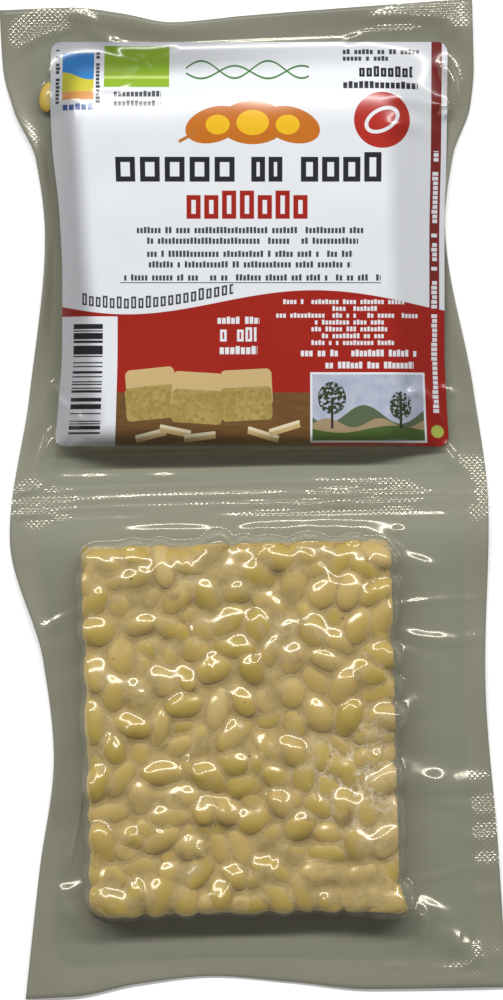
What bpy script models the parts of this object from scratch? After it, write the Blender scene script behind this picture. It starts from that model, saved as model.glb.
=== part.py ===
"""Vacuum pack of tempeh: two soybean cakes sealed in the two pockets of one film pack, with a label over one.

Metres, +Z up. The pack lies on its flat back with the labelled pocket at +Y. The origin is at the bottom
centre, on the seam between the pockets.

Places on the film are worked out flat, as it was before the vacuum drew its edges in, and drawn_in() then
takes them to where they lie on the finished pack.
"""

import math

import bmesh
import bpy
import numpy as np

MM = 0.001

# The film sheet, and how far its four edges stand from the middle after sealing: (place along, distance).
HALF_WIDTH = 69.2 * MM
HALF_LENGTH = 141.0 * MM
LEFT_EDGE = (
    (-141, 68.0), (-105, 63.2), (-71, 58.2), (-45, 60.5), (-10, 69.2), (30, 62.7),
    (78, 57.0), (98, 59.0), (112, 64.9), (125, 67.8), (141, 68.3),
)
RIGHT_EDGE = (
    (-141, 69.2), (-100, 67.6), (-55, 65.2), (-4, 67.3), (30, 63.8),
    (76, 57.0), (96, 59.7), (110, 65.0), (122, 66.3), (141, 66.3),
)
NEAR_EDGE = ((-70, 141.0), (-54, 140.6), (-36, 137.4), (-16, 135.7), (8, 138.0), (30, 140.6), (70, 141.0))
FAR_EDGE = ((-70, 140.8), (-48, 141.0), (-34, 139.1), (-19, 136.2), (2, 137.6), (30, 139.0), (70, 140.8))
# Inside these distances the film is held by the cakes and its edges can't draw it in.
HELD_WIDTH = 50.0 * MM
HELD_LENGTH = 128.0 * MM

# Film heights: both webs welded at the rim, the looser film inside the pocket line, the welded seam.
RIM_THICKNESS = 0.6 * MM
POCKET_RISE = 0.8 * MM
POCKET_HALF = (61.0 * MM, 63.0 * MM)
POCKET_MIDDLE_Y = 68.6 * MM
POCKET_CORNER = 8.0 * MM
POCKET_LINE_WIDTH = 3.0 * MM
SEAM_HEIGHT = 0.5 * MM
SEAM_HALF_WIDTH = 2.2 * MM
RIM_LIFT = 2.2 * MM
RIM_WAVES = 3.0

# The cakes, as they stand under the film.
CAKE_HALF = (44.0 * MM, 52.7 * MM)
CAKE_HEIGHT = 12.5 * MM
CAKE_CORNER = 4.0 * MM
BARE_CAKE = (-4.9 * MM, -65.2 * MM)
LABELLED_CAKE = (-3.0 * MM, 70.8 * MM)
PULLED_CORNER = (41.5 * MM, -119.0 * MM)
PULLED_REACH = 3.0 * MM
PULLED_SPREAD = 5.0 * MM
SHOULDER_INSIDE = 1.6 * MM
BARE_SLOPE = 7.0 * MM
LABELLED_SLOPE = 9.0 * MM

# Soybeans in the face of the bare cake.
BEAN_PITCH = (7.4 * MM, 7.7 * MM)
BEAN_HALF_LENGTH = (5.0 * MM, 6.3 * MM)
BEAN_HALF_WIDTH = (3.5 * MM, 4.2 * MM)
BEAN_RELIEF = 2.0 * MM
BEAN_SINK = 0.5 * MM
BEAN_BULGE = 0.6 * MM
BEAN_INSET = 3.4 * MM
BEAN_TOUCH = 0.92
BEAN_SEED = 11
SETTLING_STEPS = 60

# The label.
LABEL_HALF = (56.5 * MM, 57.6 * MM)
LABEL_MIDDLE = (1.1 * MM, 72.4 * MM)
LABEL_TURN = math.radians(-1.45)
LABEL_CORNER = 3.0 * MM
LABEL_THICKNESS = 0.3 * MM
LABEL_GAP = 0.4 * MM
LABEL_STEP = 2.9 * MM
LABEL_FEELER = 2.0 * MM

# Neighbouring faces closer to one plane than this are joined.
FLAT_ANGLE = math.radians(0.6)

FILM_COLOR = (0.19, 0.19, 0.16)
LABEL_COLOR = (0.86, 0.87, 0.88)


def smooth_through(stations, along):
    """Value of the smooth curve through the stations, which adds no bump of its own between them."""
    at, value = np.array(stations).T * MM
    rise = np.diff(value) / np.diff(at)
    same_way = rise[:-1] * rise[1:] > 0
    total = np.where(same_way, rise[:-1] + rise[1:], 1.0)
    inner = np.where(same_way, 2 * rise[:-1] * rise[1:] / total, 0.0)
    slope = np.concatenate([rise[:1], inner, rise[-1:]])
    k = np.clip(np.searchsorted(at, along) - 1, 0, len(at) - 2)
    span = at[k + 1] - at[k]
    t = (along - at[k]) / span
    blend = t * t * (3 - 2 * t)
    start = (t**3 - 2 * t**2 + t) * span * slope[k]
    end = (t**3 - t**2) * span * slope[k + 1]
    return value[k] * (1 - blend) + value[k + 1] * blend + start + end


def drawn_in(x, y):
    """Where flat places on the film lie once the vacuum has drawn its free edges in."""
    side = np.where(x < 0, smooth_through(LEFT_EDGE, y), smooth_through(RIGHT_EDGE, y))
    end = np.where(y < 0, smooth_through(NEAR_EDGE, x), smooth_through(FAR_EDGE, x))
    across = np.maximum(abs(x) - HELD_WIDTH, 0) * (1 - (side - HELD_WIDTH) / (HALF_WIDTH - HELD_WIDTH))
    along = np.maximum(abs(y) - HELD_LENGTH, 0) * (1 - (end - HELD_LENGTH) / (HALF_LENGTH - HELD_LENGTH))
    return x - np.sign(x) * across, y - np.sign(y) * along


def beyond(x, y, middle, half, corner):
    """Distance outside a rounded rectangle, negative inside it."""
    dx = abs(x - middle[0]) - half[0] + corner
    dy = abs(y - middle[1]) - half[1] + corner
    return np.hypot(np.maximum(dx, 0), np.maximum(dy, 0)) + np.minimum(np.maximum(dx, dy), 0) - corner


def smooth_step(t):
    """0 below 0 and 1 above 1, with a smooth rise between."""
    t = np.clip(t, 0, 1)
    return t * t * (3 - 2 * t)


def shoulder(distance, slope_width):
    """1 on top of a cake, falling steeply at its edge and running out over the slope of the film."""
    t = np.clip((distance + SHOULDER_INSIDE) / (slope_width + SHOULDER_INSIDE), 0, 1)
    return (1 - t) ** 3 * (1 + 3 * t)


def settled_beans():
    """Middle, direction and half sizes of the beans in a cake's face, pushed apart until they only touch."""
    draw = np.random.RandomState(BEAN_SEED)
    across = np.arange(-CAKE_HALF[0], CAKE_HALF[0], BEAN_PITCH[0])
    along = np.arange(-CAKE_HALF[1], CAKE_HALF[1], BEAN_PITCH[1])
    middle = np.array([(x + BEAN_PITCH[0] / 2 * (j % 2), y) for j, y in enumerate(along) for x in across])
    middle += draw.uniform(-0.25, 0.25, middle.shape) * BEAN_PITCH
    turn = draw.uniform(0, math.pi, len(middle))
    half_length = draw.uniform(*BEAN_HALF_LENGTH, len(middle))
    half_width = draw.uniform(*BEAN_HALF_WIDTH, len(middle))
    sink = draw.uniform(0, BEAN_SINK, len(middle))
    stations = np.array([-1.0, 0.0, 1.0])
    room = np.subtract(CAKE_HALF, BEAN_INSET)
    for _ in range(SETTLING_STEPS):
        heading = np.stack([np.cos(turn), np.sin(turn)], axis=1)
        arm = stations[None, :, None] * (half_length - half_width)[:, None, None] * heading[:, None, :]
        discs = (middle[:, None, :] + arm).reshape(-1, 2)
        owner = np.repeat(np.arange(len(middle)), 3)
        apart = discs[:, None, :] - discs[None, :, :]
        distance = np.hypot(apart[..., 0], apart[..., 1]) + 1e-9
        wanted = BEAN_TOUCH * (half_width[owner][:, None] + half_width[owner][None, :])
        press = np.where(owner[:, None] == owner[None, :], 0, np.maximum(wanted - distance, 0))
        push = (apart / distance[..., None] * press[..., None]).sum(axis=1).reshape(-1, 3, 2)
        middle += 0.12 * push.sum(axis=1)
        lever = (arm[..., 0] * push[..., 1] - arm[..., 1] * push[..., 0]).sum(axis=1)
        turn += 0.25 * lever / half_length**2
        middle = np.clip(middle, -room, room)
    return middle, turn, half_length, half_width, sink


def bean_cover(x, y, beans):
    """1 over the crest of a bean, 0 between beans, less any sink of the bean, for places on the bare cake."""
    best = np.zeros_like(x)
    for (bean_x, bean_y), turn, half_length, half_width, sink in zip(*beans):
        dx = x - BARE_CAKE[0] - bean_x
        dy = y - BARE_CAKE[1] - bean_y
        u = (dx * math.cos(turn) + dy * math.sin(turn)) / half_length
        v = (dy * math.cos(turn) - dx * math.sin(turn)) / half_width
        dome = np.sqrt(np.maximum(1 - u * u - v * v, 0))
        best = np.maximum(best, dome - sink / BEAN_RELIEF * (dome > 0))
    return best


def rim_lift(x, y):
    """How far the free rim of the film stands off the table: nothing at the pockets, most at the corners."""
    pockets = beyond(x, y, (0, 0), (POCKET_HALF[0], POCKET_MIDDLE_Y + POCKET_HALF[1]), POCKET_CORNER)
    out = smooth_step(pockets / (HALF_WIDTH - POCKET_HALF[0]))
    wave = 0.5 - 0.5 * np.cos(RIM_WAVES * 2 * math.pi * (y + x / 2) / HALF_LENGTH)
    return RIM_LIFT * out * (0.25 + 0.75 * wave)


def film_height(x, y, beans=None):
    """Height of the film's upper side above the table, for flat places on it."""
    height = RIM_THICKNESS + rim_lift(x, y) + SEAM_HEIGHT * np.exp(-((y / SEAM_HALF_WIDTH) ** 2))
    for side in (-1, 1):
        pocket = beyond(x, y, (0, side * POCKET_MIDDLE_Y), POCKET_HALF, POCKET_CORNER)
        height += POCKET_RISE * smooth_step(-pocket / POCKET_LINE_WIDTH)
    bare = beyond(x, y, BARE_CAKE, CAKE_HALF, CAKE_CORNER)
    from_corner = np.hypot(x - PULLED_CORNER[0], y - PULLED_CORNER[1])
    bare -= PULLED_REACH * np.exp(-((from_corner / PULLED_SPREAD) ** 2))
    rise = CAKE_HEIGHT - RIM_THICKNESS - POCKET_RISE
    if beans is not None:
        cover = bean_cover(x, y, beans)
        bare -= BEAN_BULGE * cover
        height -= BEAN_RELIEF * (1 - cover) * smooth_step(-bare / SHOULDER_INSIDE)
    height += rise * shoulder(bare, BARE_SLOPE)
    labelled = beyond(x, y, LABELLED_CAKE, CAKE_HALF, CAKE_CORNER)
    return height + rise * shoulder(labelled, LABELLED_SLOPE)


def stations_between(*stretches):
    """Grid stations in metres, from stretches of (start, end, steps) in millimetres that follow one another."""
    places = [np.linspace(start, end, steps, endpoint=False) for start, end, steps in stretches]
    return np.append(np.concatenate(places), stretches[-1][1]) * MM


def slab(columns, rows):
    """A grid with a line of vertices for each station, extruded once, with each vertex's flat place and layer."""
    mesh = bmesh.new()
    bmesh.ops.create_grid(mesh, x_segments=len(columns) - 1, y_segments=len(rows) - 1, size=1)
    extruded = bmesh.ops.extrude_face_region(mesh, geom=mesh.faces[:])["geom"]
    above = {item for item in extruded if isinstance(item, bmesh.types.BMVert)}
    unit = np.array([vertex.co[:2] for vertex in mesh.verts])
    column = np.rint((unit[:, 0] + 1) / 2 * (len(columns) - 1)).astype(int)
    row = np.rint((unit[:, 1] + 1) / 2 * (len(rows) - 1)).astype(int)
    upper = np.array([vertex in above for vertex in mesh.verts])
    return mesh, columns[column], rows[row], upper


def add_part(name, mesh, x, y, z, color, roughness, collection):
    """Puts the slab's vertices in place, joins its flat stretches into single faces and adds it as a part."""
    for vertex, place in zip(mesh.verts, zip(*drawn_in(x, y), z)):
        vertex.co = place
    bmesh.ops.dissolve_limit(mesh, angle_limit=FLAT_ANGLE, verts=mesh.verts[:], edges=mesh.edges[:])
    bmesh.ops.triangulate(mesh, faces=mesh.faces[:])
    bmesh.ops.recalc_face_normals(mesh, faces=mesh.faces[:])
    data = bpy.data.meshes.new(name)
    mesh.to_mesh(data)
    mesh.free()
    data.shade_smooth()
    data.set_sharp_from_angle(angle=math.radians(50))
    part = bpy.data.objects.new(name, data)
    part.data.materials.append(finish(name, color, roughness))
    collection.objects.link(part)


def finish(name, color, roughness):
    """A plain Principled material of one color."""
    material = bpy.data.materials.new(name)
    material.use_nodes = True
    shader = material.node_tree.nodes["Principled BSDF"]
    shader.inputs["Base Color"].default_value = (*color, 1)
    shader.inputs["Roughness"].default_value = roughness
    shader.inputs["Metallic"].default_value = 0
    return material


def add_sealed_pack(collection):
    """The film with both cakes in it, one solid from the film's upper side down to its flat back."""
    columns = stations_between(
        (-69.2, -61, 3), (-61, -51, 4), (-51, -44, 4), (-44, 36, 28), (36, 43, 4), (43, 53, 4), (53, 61, 3),
        (61, 69.2, 3),
    )
    rows = stations_between(
        (-141, -131.6, 3), (-131.6, -122, 3), (-122, -114.5, 4), (-114.5, -16, 34), (-16, -8, 4), (-8, -2.2, 2),
        (-2.2, 2.2, 2), (2.2, 10, 2), (10, 16, 2), (16, 22, 3), (22, 119.5, 16), (119.5, 126, 3),
        (126, 131.6, 2), (131.6, 141, 3),
    )
    mesh, x, y, upper = slab(columns, rows)
    z = np.where(upper, film_height(x, y, settled_beans()), rim_lift(x, y))
    add_part("sealed_pack", mesh, x, y, z, FILM_COLOR, 0.15, collection)


def label_underside(x, y):
    """The label bridges the film's small hollows, so it rests on the highest film within a feeler's reach."""
    reach = (-LABEL_FEELER, 0, LABEL_FEELER)
    return np.max([film_height(x + dx, y + dy) for dx in reach for dy in reach], axis=0) + LABEL_GAP


def add_label(collection):
    """The paper label, lying over the far cake and down the film's slopes beside it."""
    steps = [round(2 * half / LABEL_STEP) for half in LABEL_HALF]
    columns, rows = (np.linspace(-half, half, step + 1) for half, step in zip(LABEL_HALF, steps))
    mesh, u, v, upper = slab(columns, rows)
    du = np.maximum(abs(u) - LABEL_HALF[0] + LABEL_CORNER, 0)
    dv = np.maximum(abs(v) - LABEL_HALF[1] + LABEL_CORNER, 0)
    trim = 1 - np.maximum(du, dv) / np.maximum(np.hypot(du, dv), 1e-9)
    u = u - np.sign(u) * du * trim
    v = v - np.sign(v) * dv * trim
    x = LABEL_MIDDLE[0] + u * math.cos(LABEL_TURN) - v * math.sin(LABEL_TURN)
    y = LABEL_MIDDLE[1] + u * math.sin(LABEL_TURN) + v * math.cos(LABEL_TURN)
    z = label_underside(x, y) + LABEL_THICKNESS * upper
    add_part("label", mesh, x, y, z, LABEL_COLOR, 0.3, collection)


for leftover in list(bpy.data.objects):
    bpy.data.objects.remove(leftover)
pack = bpy.data.collections.new("tempeh_pack")
bpy.context.scene.collection.children.link(pack)
add_sealed_pack(pack)
add_label(pack)
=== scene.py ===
"""Vacuum pack of tempeh: two soybean cakes in the pockets of one film pack, with a label over the far one.

Metres, +Z up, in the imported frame. The pack lies on its flat back with the labelled pocket at +Y. Places
on the film are worked out flat, as it was before the vacuum drew its edges in, and drawn_in() takes them to
where they lie.
"""

import math

import bmesh
import bpy
import numpy as np
from mathutils import Matrix, Vector


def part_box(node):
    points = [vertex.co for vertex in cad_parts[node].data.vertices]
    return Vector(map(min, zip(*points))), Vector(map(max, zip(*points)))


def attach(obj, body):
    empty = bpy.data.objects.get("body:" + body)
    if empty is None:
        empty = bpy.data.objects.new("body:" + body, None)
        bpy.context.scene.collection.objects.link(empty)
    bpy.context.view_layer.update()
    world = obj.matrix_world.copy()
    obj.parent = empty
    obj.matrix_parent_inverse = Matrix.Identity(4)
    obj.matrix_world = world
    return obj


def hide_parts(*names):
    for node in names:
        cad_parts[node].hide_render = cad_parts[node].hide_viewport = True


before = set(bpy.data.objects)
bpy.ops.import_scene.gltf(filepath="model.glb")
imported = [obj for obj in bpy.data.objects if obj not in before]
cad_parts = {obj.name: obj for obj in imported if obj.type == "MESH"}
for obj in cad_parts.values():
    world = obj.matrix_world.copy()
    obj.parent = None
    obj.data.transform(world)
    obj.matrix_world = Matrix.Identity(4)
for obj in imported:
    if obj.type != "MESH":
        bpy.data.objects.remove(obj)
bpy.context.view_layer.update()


# ---- Back film ---------------------------------------------------------------------------------------
# The lower web of the pack: a tough grey plastic sheet, flat under the cakes and a little wavy at its free
# rim, where the vacuum has drawn its four edges in. Both cakes lie on it, and the upper web is welded to it.

MM = 0.001
scene = bpy.context.scene
pack_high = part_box("sealed_pack")[1]
HALF_WIDTH = pack_high.x
HALF_LENGTH = pack_high.y
# How far each edge stands from the middle: (place along it, distance), in millimetres.
LEFT_EDGE = (
    (-141, 68.0), (-105, 63.2), (-71, 58.2), (-45, 60.5), (-10, 69.2), (30, 62.7),
    (78, 57.0), (98, 59.0), (112, 64.9), (125, 67.8), (141, 68.3),
)
RIGHT_EDGE = (
    (-141, 69.2), (-100, 67.6), (-55, 65.2), (-4, 67.3), (30, 63.8),
    (76, 57.0), (96, 59.7), (110, 65.0), (122, 66.3), (141, 66.3),
)
NEAR_EDGE = (
    (-70, 141.0), (-54, 140.6), (-36, 137.4), (-16, 135.7), (8, 138.0), (30, 140.6), (70, 141.0),
)
FAR_EDGE = (
    (-70, 140.8), (-48, 141.0), (-34, 139.1), (-19, 136.2), (2, 137.6), (30, 139.0), (70, 140.8),
)
HELD_WIDTH = 50.0 * MM
HELD_LENGTH = 128.0 * MM
POCKET_HALF = (61.0 * MM, 63.0 * MM)
POCKET_MIDDLE_Y = 68.6 * MM
POCKET_CORNER = 8.0 * MM
RIM_LIFT = 1.5 * MM
RIM_WAVES = 3.0
# The least shares of its lift that the rim keeps: in the troughs of its waves, and at the near end.
RIM_TROUGH = 0.25
RIM_NEAR = 0.3
BACK_THICKNESS = 0.35 * MM
BACK_STEP = 1.5
BACK_COVER = 0.94
# The grey of the film: its cloudy range, the painted shade that darkens it towards the far end, and the
# painted sheen that pales it near the seam, with how far.
FILM_GREYS = ((0.193, 0.203, 0.146, 1), (0.285, 0.293, 0.222, 1))
FILM_PAINTED_SHADE = (0.075, 0.078, 0.06, 1)
PAINTED_SHADE_BY = 0.24
PAINTED_SHADE_SPAN = (20.0 * MM, 50.0 * MM)
FILM_SEAM_SHEEN = (0.36, 0.37, 0.285, 1)
SEAM_SHEEN_BY = 0.65
SEAM_SHEEN_SPAN = (19.0 * MM, 5.0 * MM)
STREAKS = (420.0, 9.0, 1.0)
STREAK_SHARE = 0.25


def smooth_through(stations, along):
    """Value of the smooth curve through the stations, which adds no bump of its own between them."""
    at, value = np.array(stations).T * MM
    rise = np.diff(value) / np.diff(at)
    same_way = rise[:-1] * rise[1:] > 0
    total = np.where(same_way, rise[:-1] + rise[1:], 1.0)
    inner = np.where(same_way, 2 * rise[:-1] * rise[1:] / total, 0.0)
    slope = np.concatenate([rise[:1], inner, rise[-1:]])
    k = np.clip(np.searchsorted(at, along) - 1, 0, len(at) - 2)
    span = at[k + 1] - at[k]
    t = (along - at[k]) / span
    blend = t * t * (3 - 2 * t)
    start = (t**3 - 2 * t**2 + t) * span * slope[k]
    end = (t**3 - t**2) * span * slope[k + 1]
    return value[k] * (1 - blend) + value[k + 1] * blend + start + end


def drawn_in(x, y):
    """Where flat places on the film lie once the vacuum has drawn its free edges in."""
    side = np.where(x < 0, smooth_through(LEFT_EDGE, y), smooth_through(RIGHT_EDGE, y))
    end = np.where(y < 0, smooth_through(NEAR_EDGE, x), smooth_through(FAR_EDGE, x))
    across = np.maximum(abs(x) - HELD_WIDTH, 0) * (1 - (side - HELD_WIDTH) / (HALF_WIDTH - HELD_WIDTH))
    along = np.maximum(abs(y) - HELD_LENGTH, 0) * (1 - (end - HELD_LENGTH) / (HALF_LENGTH - HELD_LENGTH))
    return x - np.sign(x) * across, y - np.sign(y) * along


def beyond(x, y, middle, half, corner):
    """Distance outside a rounded rectangle, negative inside it."""
    dx = abs(x - middle[0]) - half[0] + corner
    dy = abs(y - middle[1]) - half[1] + corner
    return np.hypot(np.maximum(dx, 0), np.maximum(dy, 0)) + np.minimum(np.maximum(dx, dy), 0) - corner


def smooth_step(t):
    """0 below 0 and 1 above 1, with a smooth rise between."""
    t = np.clip(t, 0, 1)
    return t * t * (3 - 2 * t)


def rim_lift(x, y):
    """How far the free rim of the film stands off the table: nothing at the pockets, most at the corners."""
    pockets = beyond(x, y, (0, 0), (POCKET_HALF[0], POCKET_MIDDLE_Y + POCKET_HALF[1]), POCKET_CORNER)
    out = smooth_step(pockets / (HALF_WIDTH - POCKET_HALF[0]))
    wave = 0.5 - 0.5 * np.cos(RIM_WAVES * 2 * math.pi * (y + x / 2) / HALF_LENGTH)
    waving = RIM_TROUGH + (1 - RIM_TROUGH) * wave
    farther = RIM_NEAR + (1 - RIM_NEAR) * smooth_step(1 + y / HALF_LENGTH)
    return RIM_LIFT * out * waving * farther


def stations(*stretches):
    """Grid stations in metres, from stretches of (start, end, pitch) in millimetres, one after another."""
    places = []
    for start, end, pitch in stretches:
        places.append(np.linspace(start, end, round((end - start) / pitch), endpoint=False))
    return np.append(np.concatenate(places), stretches[-1][1]) * MM


def sheet(name, columns, rows, thick=False):
    """A grid with vertices at each station, or a slab of two such grids, and its vertices' flat places."""
    grid = bmesh.new()
    bmesh.ops.create_grid(grid, x_segments=len(columns) - 1, y_segments=len(rows) - 1, size=1)
    lower = len(grid.verts)
    if thick:
        bmesh.ops.extrude_face_region(grid, geom=grid.faces[:])
        bmesh.ops.recalc_face_normals(grid, faces=grid.faces[:])
    data = bpy.data.meshes.new(name)
    grid.to_mesh(data)
    grid.free()
    unit = np.empty(len(data.vertices) * 3)
    data.vertices.foreach_get("co", unit)
    unit = unit.reshape(-1, 3)
    column = np.rint((unit[:, 0] + 1) / 2 * (len(columns) - 1)).astype(int)
    row = np.rint((unit[:, 1] + 1) / 2 * (len(rows) - 1)).astype(int)
    return data, columns[column], rows[row], np.arange(len(unit)) >= lower


def place(data, x, y, z):
    """Puts a mesh's vertices at these places and shades it smooth."""
    data.vertices.foreach_set("co", np.stack([x, y, z], axis=1).ravel())
    data.shade_smooth()
    data.update()


def add_piece(data, material):
    """Adds a finished mesh to the scene as a piece of the pack."""
    piece = bpy.data.objects.new(data.name, data)
    scene.collection.objects.link(piece)
    piece.data.materials.append(material)
    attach(piece, "root")
    return piece


def new_material(name):
    """An empty node material and its node tree."""
    material = bpy.data.materials.new(name)
    material.use_nodes = True
    tree = material.node_tree
    tree.nodes.clear()
    return material, tree


def feed(tree, node, inputs):
    """Sets a node's inputs to values, or links them from sockets."""
    for key, value in inputs.items():
        if isinstance(value, bpy.types.NodeSocket):
            tree.links.new(value, node.inputs[key])
        else:
            node.inputs[key].default_value = value


def add_node(tree, kind, inputs=None, **settings):
    """Adds a node with these settings; inputs are values, or sockets to link from."""
    node = tree.nodes.new(kind)
    for key, value in settings.items():
        setattr(node, key, value)
    feed(tree, node, inputs or {})
    return node


def math_node(tree, operation, a, b=0.0, c=0.0):
    """The result of one Math node on sockets or plain numbers."""
    return add_node(tree, "ShaderNodeMath", {0: a, 1: b, 2: c}, operation=operation).outputs[0]


def times(tree, a, b):
    """a times b."""
    return math_node(tree, "MULTIPLY", a, b)


def times_plus(tree, a, b, c):
    """a times b, plus c."""
    return math_node(tree, "MULTIPLY_ADD", a, b, c)


def plus(tree, a, b):
    """a plus b."""
    return math_node(tree, "ADD", a, b)


def less(tree, a, b):
    """a less b."""
    return math_node(tree, "SUBTRACT", a, b)


def attribute(tree, name):
    """The value that a mesh keeps at its vertices under this name."""
    return add_node(tree, "ShaderNodeAttribute", attribute_name=name).outputs["Fac"]


def mixed(tree, factor, a, b, blend="MIX"):
    """The colour from a to b by the factor."""
    node = add_node(tree, "ShaderNodeMix", {"Factor": factor}, data_type="RGBA", blend_type=blend)
    feed(tree, node, {6: a, 7: b})
    return node.outputs[2]


def noise(tree, scale, vector=None, detail=2.0, roughness=0.5):
    """The value of a noise texture on the object's own coordinates, or on the vector given."""
    if vector is None:
        vector = add_node(tree, "ShaderNodeTexCoord").outputs["Object"]
    inputs = {"Vector": vector, "Scale": scale, "Detail": detail, "Roughness": roughness}
    return add_node(tree, "ShaderNodeTexNoise", inputs).outputs["Fac"]


def bump(tree, height, strength, distance):
    """The normal of a surface with this low relief."""
    inputs = {"Height": height, "Strength": strength, "Distance": distance}
    return add_node(tree, "ShaderNodeBump", inputs).outputs[0]


def between(tree, value, low, high):
    """0 where the value is low, 1 where it is high, with a smooth rise between."""
    node = add_node(tree, "ShaderNodeMapRange", {"Value": value, "From Min": low, "From Max": high})
    node.interpolation_type = "SMOOTHSTEP"
    return node.outputs[0]


def finish_with(tree, shader):
    """Ends the material in this shader."""
    add_node(tree, "ShaderNodeOutputMaterial", {"Surface": shader.outputs[0]})


def back_film_material():
    """Grey polyamide film, a little see-through, with faint streaks, painted shade to the far end, painted
    sheen by the seam.
    """
    material, tree = new_material("back_film")
    cloudy = noise(tree, 28.0, detail=4.0)
    where = add_node(tree, "ShaderNodeTexCoord").outputs["Object"]
    streaky = add_node(tree, "ShaderNodeMapping", {"Vector": where, "Scale": STREAKS})
    streaks = noise(tree, 1.0, streaky.outputs[0])
    tone = times_plus(tree, streaks, STREAK_SHARE, times(tree, cloudy, 1 - STREAK_SHARE))
    color = mixed(tree, tone, *FILM_GREYS)
    along = add_node(tree, "ShaderNodeSeparateXYZ", {0: where}).outputs["Y"]
    # painted shade: the grey darkens towards the far end
    painted_far_shade = times(tree, between(tree, along, *PAINTED_SHADE_SPAN), PAINTED_SHADE_BY)
    color = mixed(tree, painted_far_shade, color, FILM_PAINTED_SHADE)
    from_seam = math_node(tree, "ABSOLUTE", along)
    # painted sheen: the grey pales near the seam
    painted_seam_sheen = times(tree, between(tree, from_seam, *SEAM_SHEEN_SPAN), SEAM_SHEEN_BY)
    color = mixed(tree, painted_seam_sheen, color, FILM_SEAM_SHEEN)
    finish_with(tree, add_node(tree, "ShaderNodeBsdfPrincipled", {
        "Base Color": color, "Roughness": 0.35, "Alpha": BACK_COVER,
        "Normal": bump(tree, noise(tree, 900.0), 0.15, 0.1 * MM)}))
    return material


whole_columns = stations((-69.2, 69.2, BACK_STEP))
whole_rows = stations((-141, 141, BACK_STEP))
back_data, x, y, upper = sheet("back_film", whole_columns, whole_rows, thick=True)
place(back_data, *drawn_in(x, y), rim_lift(x, y) + BACK_THICKNESS * upper)
add_piece(back_data, back_film_material())


# ---- Where the soybeans lie --------------------------------------------------------------------------
# Cooked, hulled soybeans, packed against the form's walls on every side of a cake and bound by white mould.
# Those in the face lie flat and only touch, smaller ones lie deeper between them, and two rows line a side.

CAKE_HALF = (44.0 * MM, 52.7 * MM)
CAKE_HEIGHT = 12.5 * MM
CAKE_CORNER = 4.0 * MM
BARE_CAKE = (-4.9 * MM, -65.2 * MM)
LABELLED_CAKE = (-3.0 * MM, 68.6 * MM)
BEAN_PITCH = (8.4 * MM, 8.7 * MM)
BEAN_HALF_LENGTH = (5.4 * MM, 7.4 * MM)
BEAN_HALF_WIDTH = (3.5 * MM, 4.6 * MM)
BEAN_HALF_HEIGHT = 3.2 * MM
BEAN_SINK = 1.2 * MM
BEAN_DEEPER = 0.95
BEAN_SHUFFLE = 0.5 * MM
BEAN_LEAN = 0.2
BEAN_INSET = 3.0 * MM
# Settling: how far beans start from their rows, as a share of the pitch, how near two beans or a bean and
# the wall may come, as a share of their half widths, and the shares of a push that move and turn a bean.
BEAN_SHIFT = 0.42
BEAN_TOUCH = 0.76
BEAN_TO_WALL = 0.8
PUSH_SHARE = 0.12
TURN_SHARE = 0.25
SETTLING_STEPS = 60
LEAST_DISTANCE = 1e-9
UNDER_FILM = 0.12 * MM
FILLER_HALF_WIDTH = (3.2 * MM, 4.2 * MM)
FILLER_INSET = 0.7 * BEAN_INSET
FILLER_OVERLAP = 1.4 * MM
FILLER_HALF_HEIGHT = 0.9 * BEAN_HALF_HEIGHT
FILLER_CROWDED = 0.3
FILLER_TRIES = 1500
FILLER_DEPTH = 0.5 * MM
LONG_BEAN = 1.42
SIDE_ROWS = (3.2 * MM, 6.1 * MM)
SIDE_PITCH = 9.0 * MM
SIDE_TILT = 0.3
LOOSE_BEAN = (-55.0 * MM, 115.6 * MM)
LOOSE_HALF = (4.4 * MM, 2.6 * MM, 2.0 * MM)
LOOSE_TURN = 1.35
LOOSE_OFF = 0.6 * MM


def settled_beans(draw):
    """Middle, direction and half sizes of the beans in a cake's face, pushed apart until they only touch."""
    across = np.arange(-CAKE_HALF[0] + BEAN_INSET, CAKE_HALF[0], BEAN_PITCH[0])
    along = np.arange(-CAKE_HALF[1] + BEAN_INSET, CAKE_HALF[1], BEAN_PITCH[1])
    middle = np.array([(x + BEAN_PITCH[0] / 2 * (j % 2), y) for j, y in enumerate(along) for x in across])
    middle += draw.uniform(-BEAN_SHIFT, BEAN_SHIFT, middle.shape) * BEAN_PITCH
    turn = draw.uniform(0, math.pi, len(middle))
    half_length = draw.uniform(*BEAN_HALF_LENGTH, len(middle))
    half_width = draw.uniform(*BEAN_HALF_WIDTH, len(middle))
    stops = np.array([-1.0, 0.0, 1.0])
    room = np.subtract(CAKE_HALF, BEAN_INSET)
    for _ in range(SETTLING_STEPS):
        heading = np.stack([np.cos(turn), np.sin(turn)], axis=1)
        arm = stops[None, :, None] * (half_length - half_width)[:, None, None] * heading[:, None, :]
        discs = (middle[:, None, :] + arm).reshape(-1, 2)
        owner = np.repeat(np.arange(len(middle)), 3)
        apart = discs[:, None, :] - discs[None, :, :]
        distance = np.hypot(apart[..., 0], apart[..., 1]) + LEAST_DISTANCE
        wanted = BEAN_TOUCH * (half_width[owner][:, None] + half_width[owner][None, :])
        press = np.where(owner[:, None] == owner[None, :], 0, np.maximum(wanted - distance, 0))
        push = (apart / distance[..., None] * press[..., None]).sum(axis=1)
        past = np.abs(discs) - CAKE_HALF + BEAN_TO_WALL * half_width[owner][:, None]
        push = (push - np.sign(discs) * np.maximum(past, 0)).reshape(-1, 3, 2)
        middle += PUSH_SHARE * push.sum(axis=1)
        lever = (arm[..., 0] * push[..., 1] - arm[..., 1] * push[..., 0]).sum(axis=1)
        turn += TURN_SHARE * lever / half_length**2
        middle = np.clip(middle, -room, room)
    return middle, turn, half_length, half_width


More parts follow.
